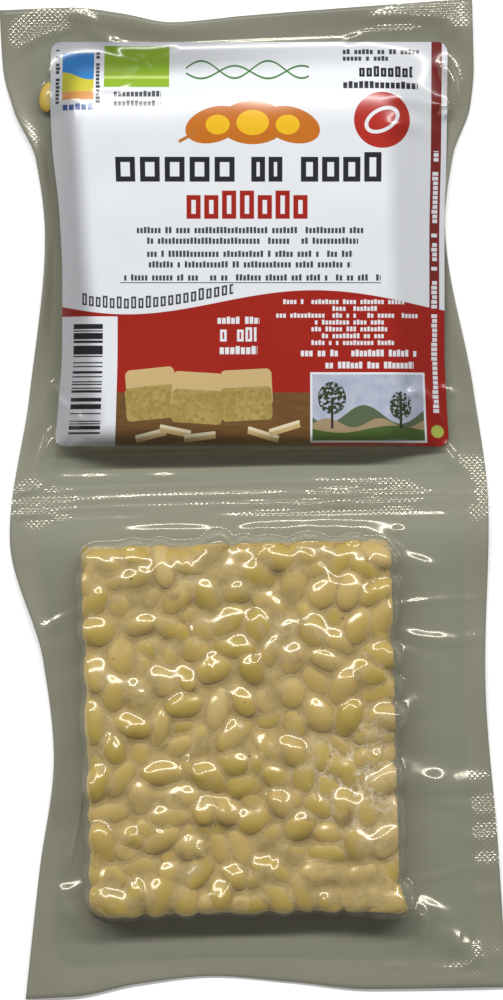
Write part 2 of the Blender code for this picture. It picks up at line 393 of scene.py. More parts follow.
def face_beans(cake, draw):
    """Beans of a cake's face as (centre, half sizes, rotation); some lie deeper and lean over."""
    found = []
    room = np.subtract(CAKE_HALF, BEAN_INSET)
    for middle, turn, half_length, half_width in zip(*settled_beans(draw)):
        deeper = draw.uniform(0, BEAN_SINK) + max(draw.normal(0, BEAN_DEEPER), 0) * MM
        middle = np.clip(middle + draw.normal(0, 1, 2) * BEAN_SHUFFLE, -room, room)
        centre = Vector((*(middle + cake), CAKE_HEIGHT - UNDER_FILM - BEAN_HALF_HEIGHT - deeper))
        lean = Matrix.Rotation(draw.normal(0, BEAN_LEAN), 3, "Y")
        half = Vector((half_length, half_width, BEAN_HALF_HEIGHT))
        found.append((centre, half, Matrix.Rotation(turn, 3, "Z") @ lean))
    return found


def discs_of(bean):
    """Three discs along a bean that stand for its outline, as x, y and radius."""
    centre, half, turn = bean
    heading = turn @ Vector((1, 0, 0))
    middles = [centre + heading * stop * (half.x - half.y) for stop in (-1, 0, 1)]
    return [(middle.x, middle.y, half.y) for middle in middles]


def filler_beans(cake, beans, draw):
    """Smaller beans that lie a little deeper, in the widest gaps left between the beans of a face."""
    room = np.subtract(CAKE_HALF, FILLER_INSET)
    tries = draw.uniform(-1, 1, (FILLER_TRIES, 2)) * room + cake
    known = np.array([disc for bean in beans for disc in discs_of(bean)])
    away = np.hypot(tries[:, None, 0] - known[:, 0], tries[:, None, 1] - known[:, 1])
    gap = (away - known[:, 2]).min(axis=1)
    found = []
    while gap.max() > 0:
        k = int(gap.argmax())
        half_width = min(max(gap[k] + FILLER_OVERLAP, FILLER_HALF_WIDTH[0]), FILLER_HALF_WIDTH[1])
        half = Vector((half_width * LONG_BEAN, half_width, FILLER_HALF_HEIGHT))
        depth = FILLER_DEPTH * (1 + draw.uniform(0, 1)) + FILLER_CROWDED * (half_width - gap[k])
        centre = Vector((*tries[k], CAKE_HEIGHT - half.z - depth))
        bean = (centre, half, Matrix.Rotation(draw.uniform(0, math.pi), 3, "Z"))
        found.append(bean)
        near = [np.hypot(tries[:, 0] - a, tries[:, 1] - b) - radius for a, b, radius in discs_of(bean)]
        gap = np.minimum(gap, np.min(near, axis=0))
    return found


def side_bean(cake, axis, side, along, height, draw):
    """One bean that stands on edge against a wall of the form."""
    half = Vector((draw.uniform(*BEAN_HALF_LENGTH), draw.uniform(*BEAN_HALF_WIDTH), BEAN_HALF_HEIGHT))
    out = side * (CAKE_HALF[axis] - half.z - draw.uniform(0, BEAN_SINK))
    x, y = (out, along) if axis == 0 else (along, out)
    centre = Vector((cake[0] + x, cake[1] + y, height + draw.normal(0, BEAN_SHUFFLE)))
    stand = Matrix.Rotation(math.pi / 2, 3, "YX"[axis])
    level = Matrix.Rotation(math.pi / 2 * (axis == 0) + draw.normal(0, SIDE_TILT), 3, "Z")
    return centre, half, stand @ level


def side_beans(cake, draw):
    """Two rows of beans along each side of a cake."""
    found = []
    for axis in (0, 1):
        reach = CAKE_HALF[1 - axis] - BEAN_INSET
        for side in (-1, 1):
            for row, height in enumerate(SIDE_ROWS):
                for along in np.arange(-reach + SIDE_PITCH / 2 * row, reach, SIDE_PITCH):
                    found.append(side_bean(cake, axis, side, along, height, draw))
    return found


bean_draw = np.random.RandomState(11)
bare_face = face_beans(BARE_CAKE, bean_draw)
bare_face += filler_beans(BARE_CAKE, bare_face, bean_draw)
bare_beans = bare_face + side_beans(BARE_CAKE, bean_draw)
labelled_face = face_beans(LABELLED_CAKE, bean_draw)
labelled_beans = labelled_face + side_beans(LABELLED_CAKE, bean_draw)
loose_place = Vector((*LOOSE_BEAN, LOOSE_HALF[2] + LOOSE_OFF))
loose_beans = [(loose_place, Vector(LOOSE_HALF), Matrix.Rotation(LOOSE_TURN, 3, "Z"))]


# ---- How the upper film lies -------------------------------------------------------------------------
# The clear upper web is drawn down by the vacuum over both cakes and welded to the back film round each
# pocket. It hangs from bean to bean, leaves the foot of a cake in a curved skirt, and is pulled into creases.

MAP_STEP = 0.35 * MM
MAP_LOW = (-HALF_WIDTH, -HALF_LENGTH)
UNIT_SPREAD = 1.9
BEAN_SAG = 1.0 / MM
SKIRT_SAG = 5.0 / MM
LABEL_SAG = 0.3 / MM
SKIRT_FROM = 0.5 * MM
DRAPE_ROUNDS = 500
FILM_STIFFNESS = 13
# Lumps are given by their rise and their size.
WEB_DEPTH = 2.6 * MM
WEB_INSET = 0.6 * MM
WEB_LUMP = (0.3 * MM, 8.0 * MM)
FACE_LUMP = (0.4 * MM, 10.0 * MM)
FINE_LUMP = (0.07 * MM, 3.2 * MM)
EDGE_STRIP = 3.4 * MM
EDGE_SLOPE = 0.42
EDGE_LEDGE = 0.7 * MM
EDGE_WANDER = (0.7 * MM, 9.0 * MM)
PULLED_BY = (2.4 * MM, -1.1 * MM)
PULLED_SPREAD = 5.0 * MM
RIM_FILM = 0.1 * MM
POCKET_SLACK = 0.5 * MM
POCKET_SLOPE = 6.0 * MM
POCKET_STEP = 0.3 * MM
POCKET_LINE = 0.9 * MM
LABEL_HALF = (56.5 * MM, 57.6 * MM)
LABEL_MIDDLE = (1.1 * MM, 72.4 * MM)
LABEL_TURN = math.radians(-1.45)
LABEL_CORNER = 3.0 * MM
LABEL_FADE = 2.0 * MM
UNDER_LABEL = 0.8 * MM
BRIDGE_CURVE = 1.25
FAR_BEND_FROM = 104.0 * MM
FAR_BEND = 0.0155 / MM
LABEL_STIFFNESS = 45
LABEL_LUMPS = ((0.28 * MM, 24.0 * MM), (0.14 * MM, 8.0 * MM))
LABEL_LUMPS_FADE = 4.0 * MM
STIFF_FROM = 1.5 * MM
# A crease: the pitch of its path's points, the steepest slope of a ridge of unit height and half width, what
# the smoothing takes from a narrow one, the least share of its run that counts as across, the share of its
# rise and the size of the lumps that make it ragged, and the power that blunts its ends.
CREASE_STEP = 0.4 * MM
RIDGE_SLOPE = 0.858
CREASE_SOFTENED = 0.25
LEAST_FACING = 0.3
CREASE_RAGGED = (0.12, 2.6 * MM)
CREASE_TAPER = 0.4
# The small creases over the bare cake: how far each reaches and bends and its half width, in millimetres.
SMALL_CREASES = 170
SMALL_REACH = (1.5, 7.0)
SMALL_BEND = 1.2
SMALL_HALF_WIDTH = (0.5, 1.3)
SMALL_STEEP = (0.05, 0.32)


def read_map(surface, x, y):
    """Height of a map of the film at these flat places, between its points."""
    u = np.clip((x - MAP_LOW[0]) / MAP_STEP, 0, surface.shape[1] - 1.001)
    v = np.clip((y - MAP_LOW[1]) / MAP_STEP, 0, surface.shape[0] - 1.001)
    i, j = u.astype(int), v.astype(int)
    s, t = u - i, v - j
    near = surface[j, i] * (1 - s) + surface[j, i + 1] * s
    far = surface[j + 1, i] * (1 - s) + surface[j + 1, i + 1] * s
    return near * (1 - t) + far * t


def neighbours(surface):
    """Mean of the four neighbours of each point."""
    spread = np.pad(surface, 1, mode="edge")
    return (spread[:-2, 1:-1] + spread[2:, 1:-1] + spread[1:-1, :-2] + spread[1:-1, 2:]) / 4


def draped(held, sag):
    """Film stretched over what holds it up and sucked down between."""
    film = held.copy()
    pull = sag * MAP_STEP**2 / 4
    for _ in range(DRAPE_ROUNDS):
        film = np.maximum(held, neighbours(film) - pull)
    return film


def bean_tops(beans, x, y):
    """Rows and columns of the map that each bean covers, and the height of its upper side there."""
    for centre, half, turn in beans:
        reach = max(half) + np.ptp(PULLED_BY)
        low = [int((centre[axis] - reach - MAP_LOW[axis]) / MAP_STEP) for axis in (0, 1)]
        high = [int((centre[axis] + reach - MAP_LOW[axis]) / MAP_STEP) + 2 for axis in (0, 1)]
        rows, columns = slice(low[1], high[1]), slice(low[0], high[0])
        form = np.array(turn) @ np.diag(1 / np.array(half) ** 2) @ np.array(turn).T
        dx, dy = x[rows, columns] - centre.x, y[rows, columns] - centre.y
        b = form[0, 2] * dx + form[1, 2] * dy
        c = form[0, 0] * dx * dx + 2 * form[0, 1] * dx * dy + form[1, 1] * dy * dy - 1
        root = b * b - form[2, 2] * c
        rise = (-b + np.sqrt(np.maximum(root, 0))) / form[2, 2]
        yield rows, columns, np.where(root > 0, centre.z + rise, 0)


def soft_noise(shape, size, seed):
    """Smooth random field of about unit spread, in lumps of this size, from a coarse net of cubic patches."""
    cells = [int(count * MAP_STEP / size) + 4 for count in shape]
    coarse = np.random.RandomState(seed).normal(0, 1, cells)

    def along(values, count):
        places = np.arange(count) * MAP_STEP / size + 1
        k = places.astype(int)
        t = (places - k)[:, None]
        before, after = (1 - t) ** 3 / 6, t**3 / 6
        nearer, farther = (3 * t**3 - 6 * t**2 + 4) / 6, (-3 * t**3 + 3 * t**2 + 3 * t + 1) / 6
        weights = (before, nearer, farther, after)
        return sum(weight * values[k + step] for weight, step in zip(weights, (-1, 0, 1, 2)))

    return along(along(coarse, shape[0]).T, shape[1]).T * UNIT_SPREAD


def pulled(x, y, share=1.0):
    """Places on the bare cake, whose near right corner is pulled out to a point."""
    from_corner = np.hypot(x - BARE_CAKE[0] - CAKE_HALF[0], y - BARE_CAKE[1] + CAKE_HALF[1])
    near = np.exp(-(from_corner / PULLED_SPREAD) ** 2)
    return x + share * PULLED_BY[0] * near, y + share * PULLED_BY[1] * near


def resting_film(x, y):
    """Height of the upper film where no cake holds it up: welded at the rim, looser in the pockets."""
    height = rim_lift(x, y) + BACK_THICKNESS + RIM_FILM
    for side in (-1, 1):
        pocket = beyond(x, y, (0, side * POCKET_MIDDLE_Y), POCKET_HALF, POCKET_CORNER)
        height = height + POCKET_SLACK * smooth_step(-pocket / POCKET_SLOPE)
        height = height + POCKET_STEP * smooth_step(0.5 - pocket / POCKET_LINE)
    return height


def map_window(surface, low, high):
    """The rows and columns of the map between two corners."""
    spans = []
    for axis in (1, 0):
        edges = ((edge[axis] - MAP_LOW[axis]) / MAP_STEP for edge in (low, high))
        spans.append(slice(*(int(np.clip(edge, 0, surface.shape[1 - axis])) for edge in edges)))
    return tuple(spans)


def add_creases(surface, creases, ragged):
    """Raises creases of uneven height.

    Each has a start, a middle, an end and a half width in millimetres, and how steep it looks from the far
    side, where 0.35 just catches the light.
    """
    for start, middle, end, half_width, steep in creases:
        a, b, c = (np.array(point) * MM for point in (start, middle, end))
        t = np.linspace(0, 1, int(np.hypot(*(c - a)) / CREASE_STEP) + 4)
        bow = 2 * b - (a + c) / 2
        path = ((1 - t) ** 2)[:, None] * a + (2 * t * (1 - t))[:, None] * bow + (t * t)[:, None] * c
        reach = 3 * half_width * MM
        window = map_window(surface, path.min(axis=0) - reach, path.max(axis=0) + reach)
        away = np.hypot(map_x[window][..., None] - path[:, 0], map_y[window][..., None] - path[:, 1])
        taper = np.sin(math.pi * np.clip(t[away.argmin(axis=2)] * 0.96 + 0.02, 0, 1)) ** CREASE_TAPER
        ridge = np.exp(-((away.min(axis=2) / (half_width * MM)) ** 2))
        facing = max(abs(c[0] - a[0]) / np.hypot(*(c - a)), LEAST_FACING)
        rise = steep * (half_width + CREASE_SOFTENED / half_width) * MM / RIDGE_SLOPE / facing
        surface[window] += rise * taper * ridge * (1 + ragged[window])
    return surface


map_x, map_y = np.meshgrid(
    np.arange(-HALF_WIDTH, HALF_WIDTH + MAP_STEP, MAP_STEP),
    np.arange(-HALF_LENGTH, HALF_LENGTH + MAP_STEP, MAP_STEP))
held = resting_film(map_x, map_y)
was_x, was_y = pulled(map_x, map_y, -1.0)
in_bare = -beyond(was_x, was_y, BARE_CAKE, np.subtract(CAKE_HALF, WEB_INSET), CAKE_CORNER)
in_labelled = -beyond(map_x, map_y, LABELLED_CAKE, CAKE_HALF, CAKE_CORNER)
web_top = CAKE_HEIGHT - WEB_DEPTH + WEB_LUMP[0] * soft_noise(map_x.shape, WEB_LUMP[1], 3)
held = np.maximum(held, np.where(in_bare > 0, web_top, 0))
for rows, columns, top in bean_tops(bare_face + loose_beans, was_x, was_y):
    held[rows, columns] = np.maximum(held[rows, columns], top)
for (rise, size), seed in ((FINE_LUMP, 21), (FACE_LUMP, 22)):
    held += rise * soft_noise(map_x.shape, size, seed) * (in_bare > 0)
# the far edge of the bare cake is pressed to a sloping strip, with a small ledge at its end
into_strip = map_y - (BARE_CAKE[1] + CAKE_HALF[1] - EDGE_STRIP)
into_strip += EDGE_WANDER[0] * soft_noise(map_x.shape, EDGE_WANDER[1], 61)
held -= EDGE_SLOPE * np.clip(into_strip, 0, EDGE_STRIP - EDGE_LEDGE) * (in_bare > 0)

# the stiff label takes the film from the cake's edge to the pocket's line, and bends down at the far end
from_x, from_y = map_x - LABEL_MIDDLE[0], map_y - LABEL_MIDDLE[1]
label_u = from_x * math.cos(LABEL_TURN) + from_y * math.sin(LABEL_TURN)
label_v = from_y * math.cos(LABEL_TURN) - from_x * math.sin(LABEL_TURN)
under_label = smooth_step(1 - beyond(label_u, label_v, (0, 0), LABEL_HALF, LABEL_CORNER) / LABEL_FADE)
from_cake = np.maximum(-in_labelled, 0)
to_line = np.maximum(-beyond(map_x, map_y, (0, POCKET_MIDDLE_Y), POCKET_HALF, POCKET_CORNER), 0)
bridge = (1 - from_cake / np.maximum(from_cake + to_line, MAP_STEP)) ** BRIDGE_CURVE
bridge *= CAKE_HEIGHT - UNDER_LABEL - FAR_BEND * np.maximum(map_y - FAR_BEND_FROM, 0) ** 2
held = np.maximum(held, bridge * under_label)
sag = np.where(in_bare > -SKIRT_FROM, BEAN_SAG, SKIRT_SAG)
film_map = draped(held, sag + (LABEL_SAG - sag) * under_label)
stiffened = film_map.copy()
for _ in range(FILM_STIFFNESS):
    stiffened = neighbours(stiffened)
film_map += (stiffened - film_map) * smooth_step(in_bare / STIFF_FROM)
for _ in range(LABEL_STIFFNESS):
    stiffened = neighbours(stiffened)
film_map += (stiffened - film_map) * under_label
over_cake = smooth_step(in_labelled / LABEL_LUMPS_FADE + 1)
for (rise, size), seed in zip(LABEL_LUMPS, (41, 42)):
    film_map += rise * soft_noise(map_x.shape, size, seed) * under_label * over_cake

FILM_CREASES = (
    # the slack film beyond the far side, and the far right corner of the bare cake
    ((-37, -8.4), (-24, -8.5), (-11, -8.8), 1.4, 0.42), ((-4, -8.9), (3, -8.6), (10, -8.8), 1.0, 0.37),
    ((-1, -8.8), (20, -8.9), (40, -10.2), 2.2, 0.44), ((32, -10.4), (38, -12.6), (43, -16.4), 1.2, 0.45),
    ((40, -10.6), (41.4, -10.2), (43, -10.6), 1.0, 0.5), ((41, -17.6), (46, -19.0), (53, -21.0), 1.9, 0.46),
    # its right side, from far to near
    ((38, -33.4), (46, -30.8), (66.5, -30.2), 1.0, 0.38),
    ((38.5, -38.2), (50, -41.4), (67, -41.4), 2.0, 0.39),
    ((38.5, -44.4), (43, -44.8), (50, -47.0), 2.2, 0.44), ((37, -62.5), (42, -61.5), (47, -58.5), 3.0, 0.4),
    ((37, -77.0), (47, -81.0), (59, -83.0), 3.6, 0.46), ((50, -88), (55, -88.4), (60, -88.8), 1.2, 0.35),
    # the pulled corner
    ((42, -110), (51, -108.6), (59, -106.5), 1.0, 0.36),
    ((44, -115.2), (49, -118.6), (55, -120.6), 2.6, 0.44),
    ((42.6, -118), (46, -121.4), (44, -127), 1.6, 0.46),
    ((49, -124.4), (53, -125.4), (57, -126.6), 2.8, 0.45),
    ((53, -127.8), (57, -129.2), (61, -130.2), 2.4, 0.44),
    ((34, -134.2), (38, -134.4), (42, -134.2), 0.9, 0.38),
    ((47, -134.8), (58.5, -134.4), (61.5, -128.2), 0.8, 0.4),
    # its left side, from far to near
    ((-67, -36.2), (-58, -33.4), (-49, -30.4), 1.6, 0.39),
    ((-49, -73.6), (-52.2, -88), (-57.6, -105), 0.9, 0.38),
    ((-61, -110.6), (-55, -110.2), (-50, -108.6), 2.2, 0.42),
    ((-60.5, -115.0), (-57, -115.5), (-53, -118), 3.0, 0.42),
    ((-52.5, -119.6), (-48, -121.6), (-43, -124.4), 1.9, 0.5),
    # the seam between the pockets and the lines beside it
    ((-68, -0.2), (-8, 1.1), (67, -0.4), 0.8, 0.37), ((19, 0.5), (25, 0.4), (31, 0.5), 1.8, 0.46),
    ((-67, -1.6), (-10, -1.7), (66, -1.9), 0.7, 0.355), ((-57, -5.2), (0, -5.1), (62, -6.1), 0.7, 0.36),
    ((-62, 3.4), (-20, 4.2), (30, 4.8), 0.7, 0.35), ((-61, 7.6), (-48, 7.2), (-35, 7.2), 0.7, 0.37),
    ((-30, 7.0), (-24, 6.9), (-18, 6.9), 0.7, 0.36), ((24, 7.2), (31, 6.9), (38, 6.6), 0.8, 0.38),
    ((-68, 3.6), (-64, 4.0), (-60, 5.2), 0.9, 0.38), ((-68, -3.2), (-62, -2.9), (-56, -3.4), 0.9, 0.38),
    ((-30, -3.2), (-22, -3.4), (-12, -3.3), 0.9, 0.38), ((12, -3.0), (26, -2.2), (38, -3.2), 1.4, 0.27),
    ((10, 4.0), (26, 4.0), (40, 3.6), 1.6, 0.27), ((-64, 6.0), (-40, 6.4), (-10, 6.6), 1.6, 0.2),
    # the loose parts of the flange, where the bar's hatch shows
    ((58, -82.5), (63, -82.0), (68.5, -82.5), 3.0, 0.27),
    ((58.5, -90), (63, -90.6), (68.5, -90), 3.2, 0.27), ((59, -98), (63, -98.4), (68.5, -98), 3.2, 0.28),
    ((60, -106), (64, -106.2), (69, -106), 3.2, 0.27), ((61, -114), (64, -114), (69, -114), 2.6, 0.25),
    ((57, -132), (62, -132.6), (69, -131), 3.2, 0.28), ((52, -138.2), (60, -138.8), (69, -138), 2.6, 0.28),
    ((60, 20), (64, 24), (68, 22), 3.4, 0.26),
    # the corners of the labelled pocket
    ((-63, 129.6), (-56.5, 133.4), (-47.5, 134.4), 2.2, 0.42),
    ((-43.6, 134.9), (-39.9, 133.4), (-34.6, 130.4), 2.2, 0.44),
    ((-48, 139.0), (-43.5, 138.4), (-40, 136.4), 1.6, 0.4),
    ((31, 129.8), (40, 132.6), (61, 130.9), 1.3, 0.4), ((36, 137.0), (48, 137.6), (62, 136.0), 2.0, 0.38),
    ((40, 133.0), (52, 134.0), (66, 132.0), 3.4, 0.27),
    ((56.5, 110.6), (60.5, 109.8), (57, 107.5), 1.3, 0.42),
    ((58.5, 122), (61.8, 117.5), (63, 111), 2.6, 0.36), ((44.4, 26.4), (49, 28.6), (54.4, 20.4), 1.6, 0.44),
    ((54.4, 30.0), (58, 29.0), (63, 28.0), 1.2, 0.42), ((54.4, 14.6), (57.4, 10.6), (61, 7.0), 2.4, 0.37),
    ((-54.6, 18.6), (-57.4, 13.6), (-60.6, 8.4), 2.4, 0.37),
    ((-60.4, 29.0), (-58.5, 33.0), (-54, 32.9), 1.3, 0.42),
    ((-62.0, 10.8), (-60.5, 15.0), (-58.4, 20.0), 1.5, 0.36),
    ((-59.5, 33.3), (-55, 29.9), (-46.5, 22.0), 1.2, 0.42),
    # wrinkles that show through the label
    ((-36.5, 129.1), (-28.6, 126.4), (-19, 128.1), 1.1, 0.3),
    ((-30.6, 126.9), (-27.4, 124.6), (-26.2, 120.6), 1.0, 0.3),
    ((-42.4, 118.7), (-35.1, 117.6), (-28.2, 123.6), 1.3, 0.34),
    ((-53, 112), (-50, 114.5), (-46, 114), 1.6, 0.3), ((43, 113), (50, 112), (57, 109.6), 2.2, 0.3),
    ((41.2, 103.8), (46, 104.9), (54, 102.4), 2.2, 0.3),
)
ragged = CREASE_RAGGED[0] * soft_noise(map_x.shape, CREASE_RAGGED[1], 51)
film_map = add_creases(film_map, FILM_CREASES, ragged)
crease_draw = np.random.RandomState(31)
for _ in range(SMALL_CREASES):
    at = (crease_draw.uniform(-1, 1, 2) * CAKE_HALF + BARE_CAKE) / MM
    way = crease_draw.uniform(0, math.pi)
    arm = np.array([math.cos(way), math.sin(way)]) * crease_draw.uniform(*SMALL_REACH)
    bend = crease_draw.uniform(-SMALL_BEND, SMALL_BEND, 2)
    form = (crease_draw.uniform(*SMALL_HALF_WIDTH), crease_draw.uniform(*SMALL_STEEP))
    film_map = add_creases(film_map, [(at - arm, at + bend, at + arm, *form)], ragged)
for _ in range(2):
    film_map = neighbours(film_map)


# ---- Soybeans of the cakes ---------------------------------------------------------------------------
# Each bean is a smooth, slightly flattened oval, from yellow to tan, dulled by the pale bloom of the mould
# that grows over its edges. The film presses those in the face flat, and the form's walls those at the sides.

WALL_GIVE = 0.3 * MM
BEAN_SEGMENTS = (16, 9)
HAZE_FROM = 0.05 * MM
HAZE_OVER = 0.22 * MM
WALL_HAZE = 0.5
WALL_HAZE_REACH = 3.0 * MM
FLATTENING = 0.35 * MM
BODY_DEPTH = 1.6 * MM
LEAST_BODY_DEPTH = 0.5 * MM
BODY_LUMP = (0.45 * MM, 6.5 * MM)
VEIL_ROUNDS = 14
VEIL_SUNK = 0.1 * MM
VEIL_LUMPS = ((0.065 * MM, 7.0 * MM), (0.045 * MM, 2.4 * MM))
BARED_FROM = 0.07 * MM
BARED_OVER = 0.12 * MM
BARED_BY = 0.45 * MM
SETTLED = 0.9 * MM
SETTLED_BELOW = 1.6 * MM
BEAN_COLORS = (
    (0.0, (0.45, 0.315, 0.015, 1)), (0.35, (0.50, 0.345, 0.025, 1)), (0.7, (0.54, 0.365, 0.065, 1)),
    (1.0, (0.62, 0.45, 0.14, 1)),
)
BEAN_BROWN = (0.27, 0.13, 0.03, 1)
BEAN_RIPENESS = 1.6
STAINED_BY = 0.75
THREADS_ON_BEANS = 0.15
MOTTLE_IN_HAZE = 0.8
NO_TINT = (0.5, 0.5, 0.5, 1)
GROWTH_COLORS = ((0.385, 0.270, 0.080, 1), (0.53, 0.378, 0.122, 1))
BLOOM_COLOR = (0.86, 0.76, 0.56, 1)
BLOOM_MIDDLE = (30.0 * MM, -80.0 * MM, CAKE_HEIGHT)
BLOOM_REACH = 27.0 * MM
# The threads: how much their net wanders, how strongly it shows, how well the thin growth covers, and how
# ragged the thick patch is. Each range says from where to where its texture goes from none to all.
THREAD_WANDER = (0.012, 0.012, 0.012)
THREAD_STRENGTH = 0.7
THIN_COVER = 0.35
RAGGED_PATCH = 0.9
PATCH_RANGE = (1.35, 0.55)
THIN_RANGE = (0.62, 0.8)
STRAND_RANGE = (0.07, 0.0)
FUZZ_RANGE = (0.4, 0.75)
MOTTLE_RANGE = (0.3, 0.7)
STAIN_RANGE = (0.67, 0.74)


def new_group(name, inputs, outputs):
    """A shader node group with these named sockets, and its input and output nodes."""
    group = bpy.data.node_groups.new(name, "ShaderNodeTree")
    for socket, kind, value in inputs:
        made = group.interface.new_socket(socket, in_out="INPUT", socket_type=kind)
        made.default_value = value
    for socket, kind in outputs:
        group.interface.new_socket(socket, in_out="OUTPUT", socket_type=kind)
    return group, group.nodes.new("NodeGroupInput").outputs, group.nodes.new("NodeGroupOutput").inputs


def use_group(tree, group, inputs):
    """Places a group in a material with these inputs."""
    node = tree.nodes.new("ShaderNodeGroup")
    node.node_tree = group
    feed(tree, node, inputs)
    return node.outputs


def threads_group():
    """The mould's white growth: fine crossing threads, thick in one patch and thin elsewhere."""
    group, given, result = new_group(
        "Mould threads",
        [("Middle", "NodeSocketVector", BLOOM_MIDDLE), ("Reach", "NodeSocketFloat", BLOOM_REACH)],
        [("Threads", "NodeSocketFloat"), ("Mottle", "NodeSocketFloat"), ("Color", "NodeSocketColor")])
    where = add_node(group, "ShaderNodeTexCoord").outputs["Object"]
    offset = add_node(group, "ShaderNodeVectorMath", {0: where, 1: given["Middle"]}, operation="DISTANCE")
    near = math_node(group, "DIVIDE", offset.outputs["Value"], given["Reach"])
    ragged_near = times_plus(group, noise(group, 110.0, where), RAGGED_PATCH, near)
    patch = between(group, ragged_near, *PATCH_RANGE)
    thin = between(group, noise(group, 75.0, where, detail=1.0), *THIN_RANGE)
    wander = add_node(group, "ShaderNodeTexNoise", {"Vector": where, "Scale": 170.0}).outputs["Color"]
    bent = add_node(group, "ShaderNodeVectorMath", {0: wander, 1: THREAD_WANDER}, operation="MULTIPLY")
    bent = add_node(group, "ShaderNodeVectorMath", {0: where, 1: bent.outputs[0]}, operation="ADD")
    net = {"Vector": bent.outputs[0], "Scale": 240.0}
    cells = add_node(group, "ShaderNodeTexVoronoi", net, feature="DISTANCE_TO_EDGE")
    strand = between(group, cells.outputs["Distance"], *STRAND_RANGE)
    fuzz = between(group, noise(group, 620.0, where, detail=4.0), *FUZZ_RANGE)
    grown = math_node(group, "MAXIMUM", times(group, strand, THREAD_STRENGTH), fuzz)
    cover = math_node(group, "MAXIMUM", times(group, thin, THIN_COVER), patch)
    threads = times(group, grown, cover)
    mottle = noise(group, 340.0, where, detail=5.0, roughness=0.6)
    color = mixed(group, between(group, mottle, *MOTTLE_RANGE), *GROWTH_COLORS)
    group.links.new(threads, result["Threads"])
    group.links.new(mottle, result["Mottle"])
    group.links.new(mixed(group, threads, color, BLOOM_COLOR), result["Color"])
    return group


mould_threads = threads_group()


def bean_material():
    """Waxy beans that pale into the mould's growth at their edges, with a rare brown stain."""
    material, tree = new_material("soybean")
    ramp = add_node(tree, "ShaderNodeValToRGB", {"Fac": attribute(tree, "ripeness")})
    while len(ramp.color_ramp.elements) < len(BEAN_COLORS):
        ramp.color_ramp.elements.new(0.5)
    for element, (at, color) in zip(ramp.color_ramp.elements, BEAN_COLORS):
        element.position = at
        element.color = color
    growth = use_group(tree, mould_threads, {})
    stain = between(tree, noise(tree, 62.0, detail=3.0), *STAIN_RANGE)
    color = mixed(tree, growth["Mottle"], ramp.outputs[0], NO_TINT, blend="SOFT_LIGHT")
    color = mixed(tree, times(tree, stain, STAINED_BY), color, BEAN_BROWN)
    haze = less(tree, attribute(tree, "haze"), MOTTLE_IN_HAZE / 2)
    uneven = times_plus(tree, growth["Mottle"], MOTTLE_IN_HAZE, haze)
    color = mixed(tree, times(tree, growth["Threads"], THREADS_ON_BEANS), color, BLOOM_COLOR)
    color = mixed(tree, between(tree, uneven, 0.0, 1.0), color, growth["Color"])
    finish_with(tree, add_node(tree, "ShaderNodeBsdfPrincipled", {
        "Base Color": color, "Roughness": 0.55, "Normal": bump(tree, growth["Mottle"], 0.3, 0.15 * MM)}))
    return material


def one_bean():
    """One soybean of unit half sizes, with its long side along X."""
    bean = bmesh.new()
    laid = Matrix.Rotation(math.pi / 2, 4, "Y")
    around, over = BEAN_SEGMENTS
    bmesh.ops.create_uvsphere(bean, u_segments=around, v_segments=over, radius=1, matrix=laid)
    data = bpy.data.meshes.new("one_bean")
    bean.to_mesh(data)
    bean.free()
    return data


bean_shape = one_bean()


def pressed(places, middle, half):
    """Places pressed in by the form's walls, which the beans only just push past."""
    away = places - middle
    over = np.maximum(abs(away) - half + WALL_GIVE, 0)
    return places - np.sign(away) * (over - WALL_GIVE * (1 - np.exp(-over / WALL_GIVE)))


def bedded(depth):
    """Depth under the film once the vacuum has bedded the beans in, so that they stand out less."""
    return depth - SETTLED * (1 - np.exp(-depth / SETTLED_BELOW))


def veil_over(beans):
    """Height of the veil of growth that smooths over these beans but bares their crowns, and its haze."""
    depth = BODY_DEPTH + BODY_LUMP[0] * soft_noise(map_x.shape, BODY_LUMP[1], 71)
    top = film_map - np.maximum(depth, LEAST_BODY_DEPTH)
    for rows, columns, bean_top in bean_tops(beans, was_x, was_y):
        top[rows, columns] = np.maximum(top[rows, columns], bean_top)
    top = np.minimum(top, film_map)
    veil = top.copy()
    for _ in range(VEIL_ROUNDS):
        veil = neighbours(veil)
    for (rise, size), seed in zip(VEIL_LUMPS, (72, 73)):
        veil += rise * soft_noise(map_x.shape, size, seed)
    veil -= VEIL_SUNK
    lead = top - veil
    haze = 1 - smooth_step((lead - HAZE_FROM) / HAZE_OVER)
    return veil - BARED_BY * smooth_step((lead - BARED_FROM) / BARED_OVER), haze


def keep(data, name, values):
    """Keeps a value at each vertex of a mesh, under a name that its material reads."""
    data.attributes.new(name, "FLOAT", "POINT").data.foreach_set("value", values)


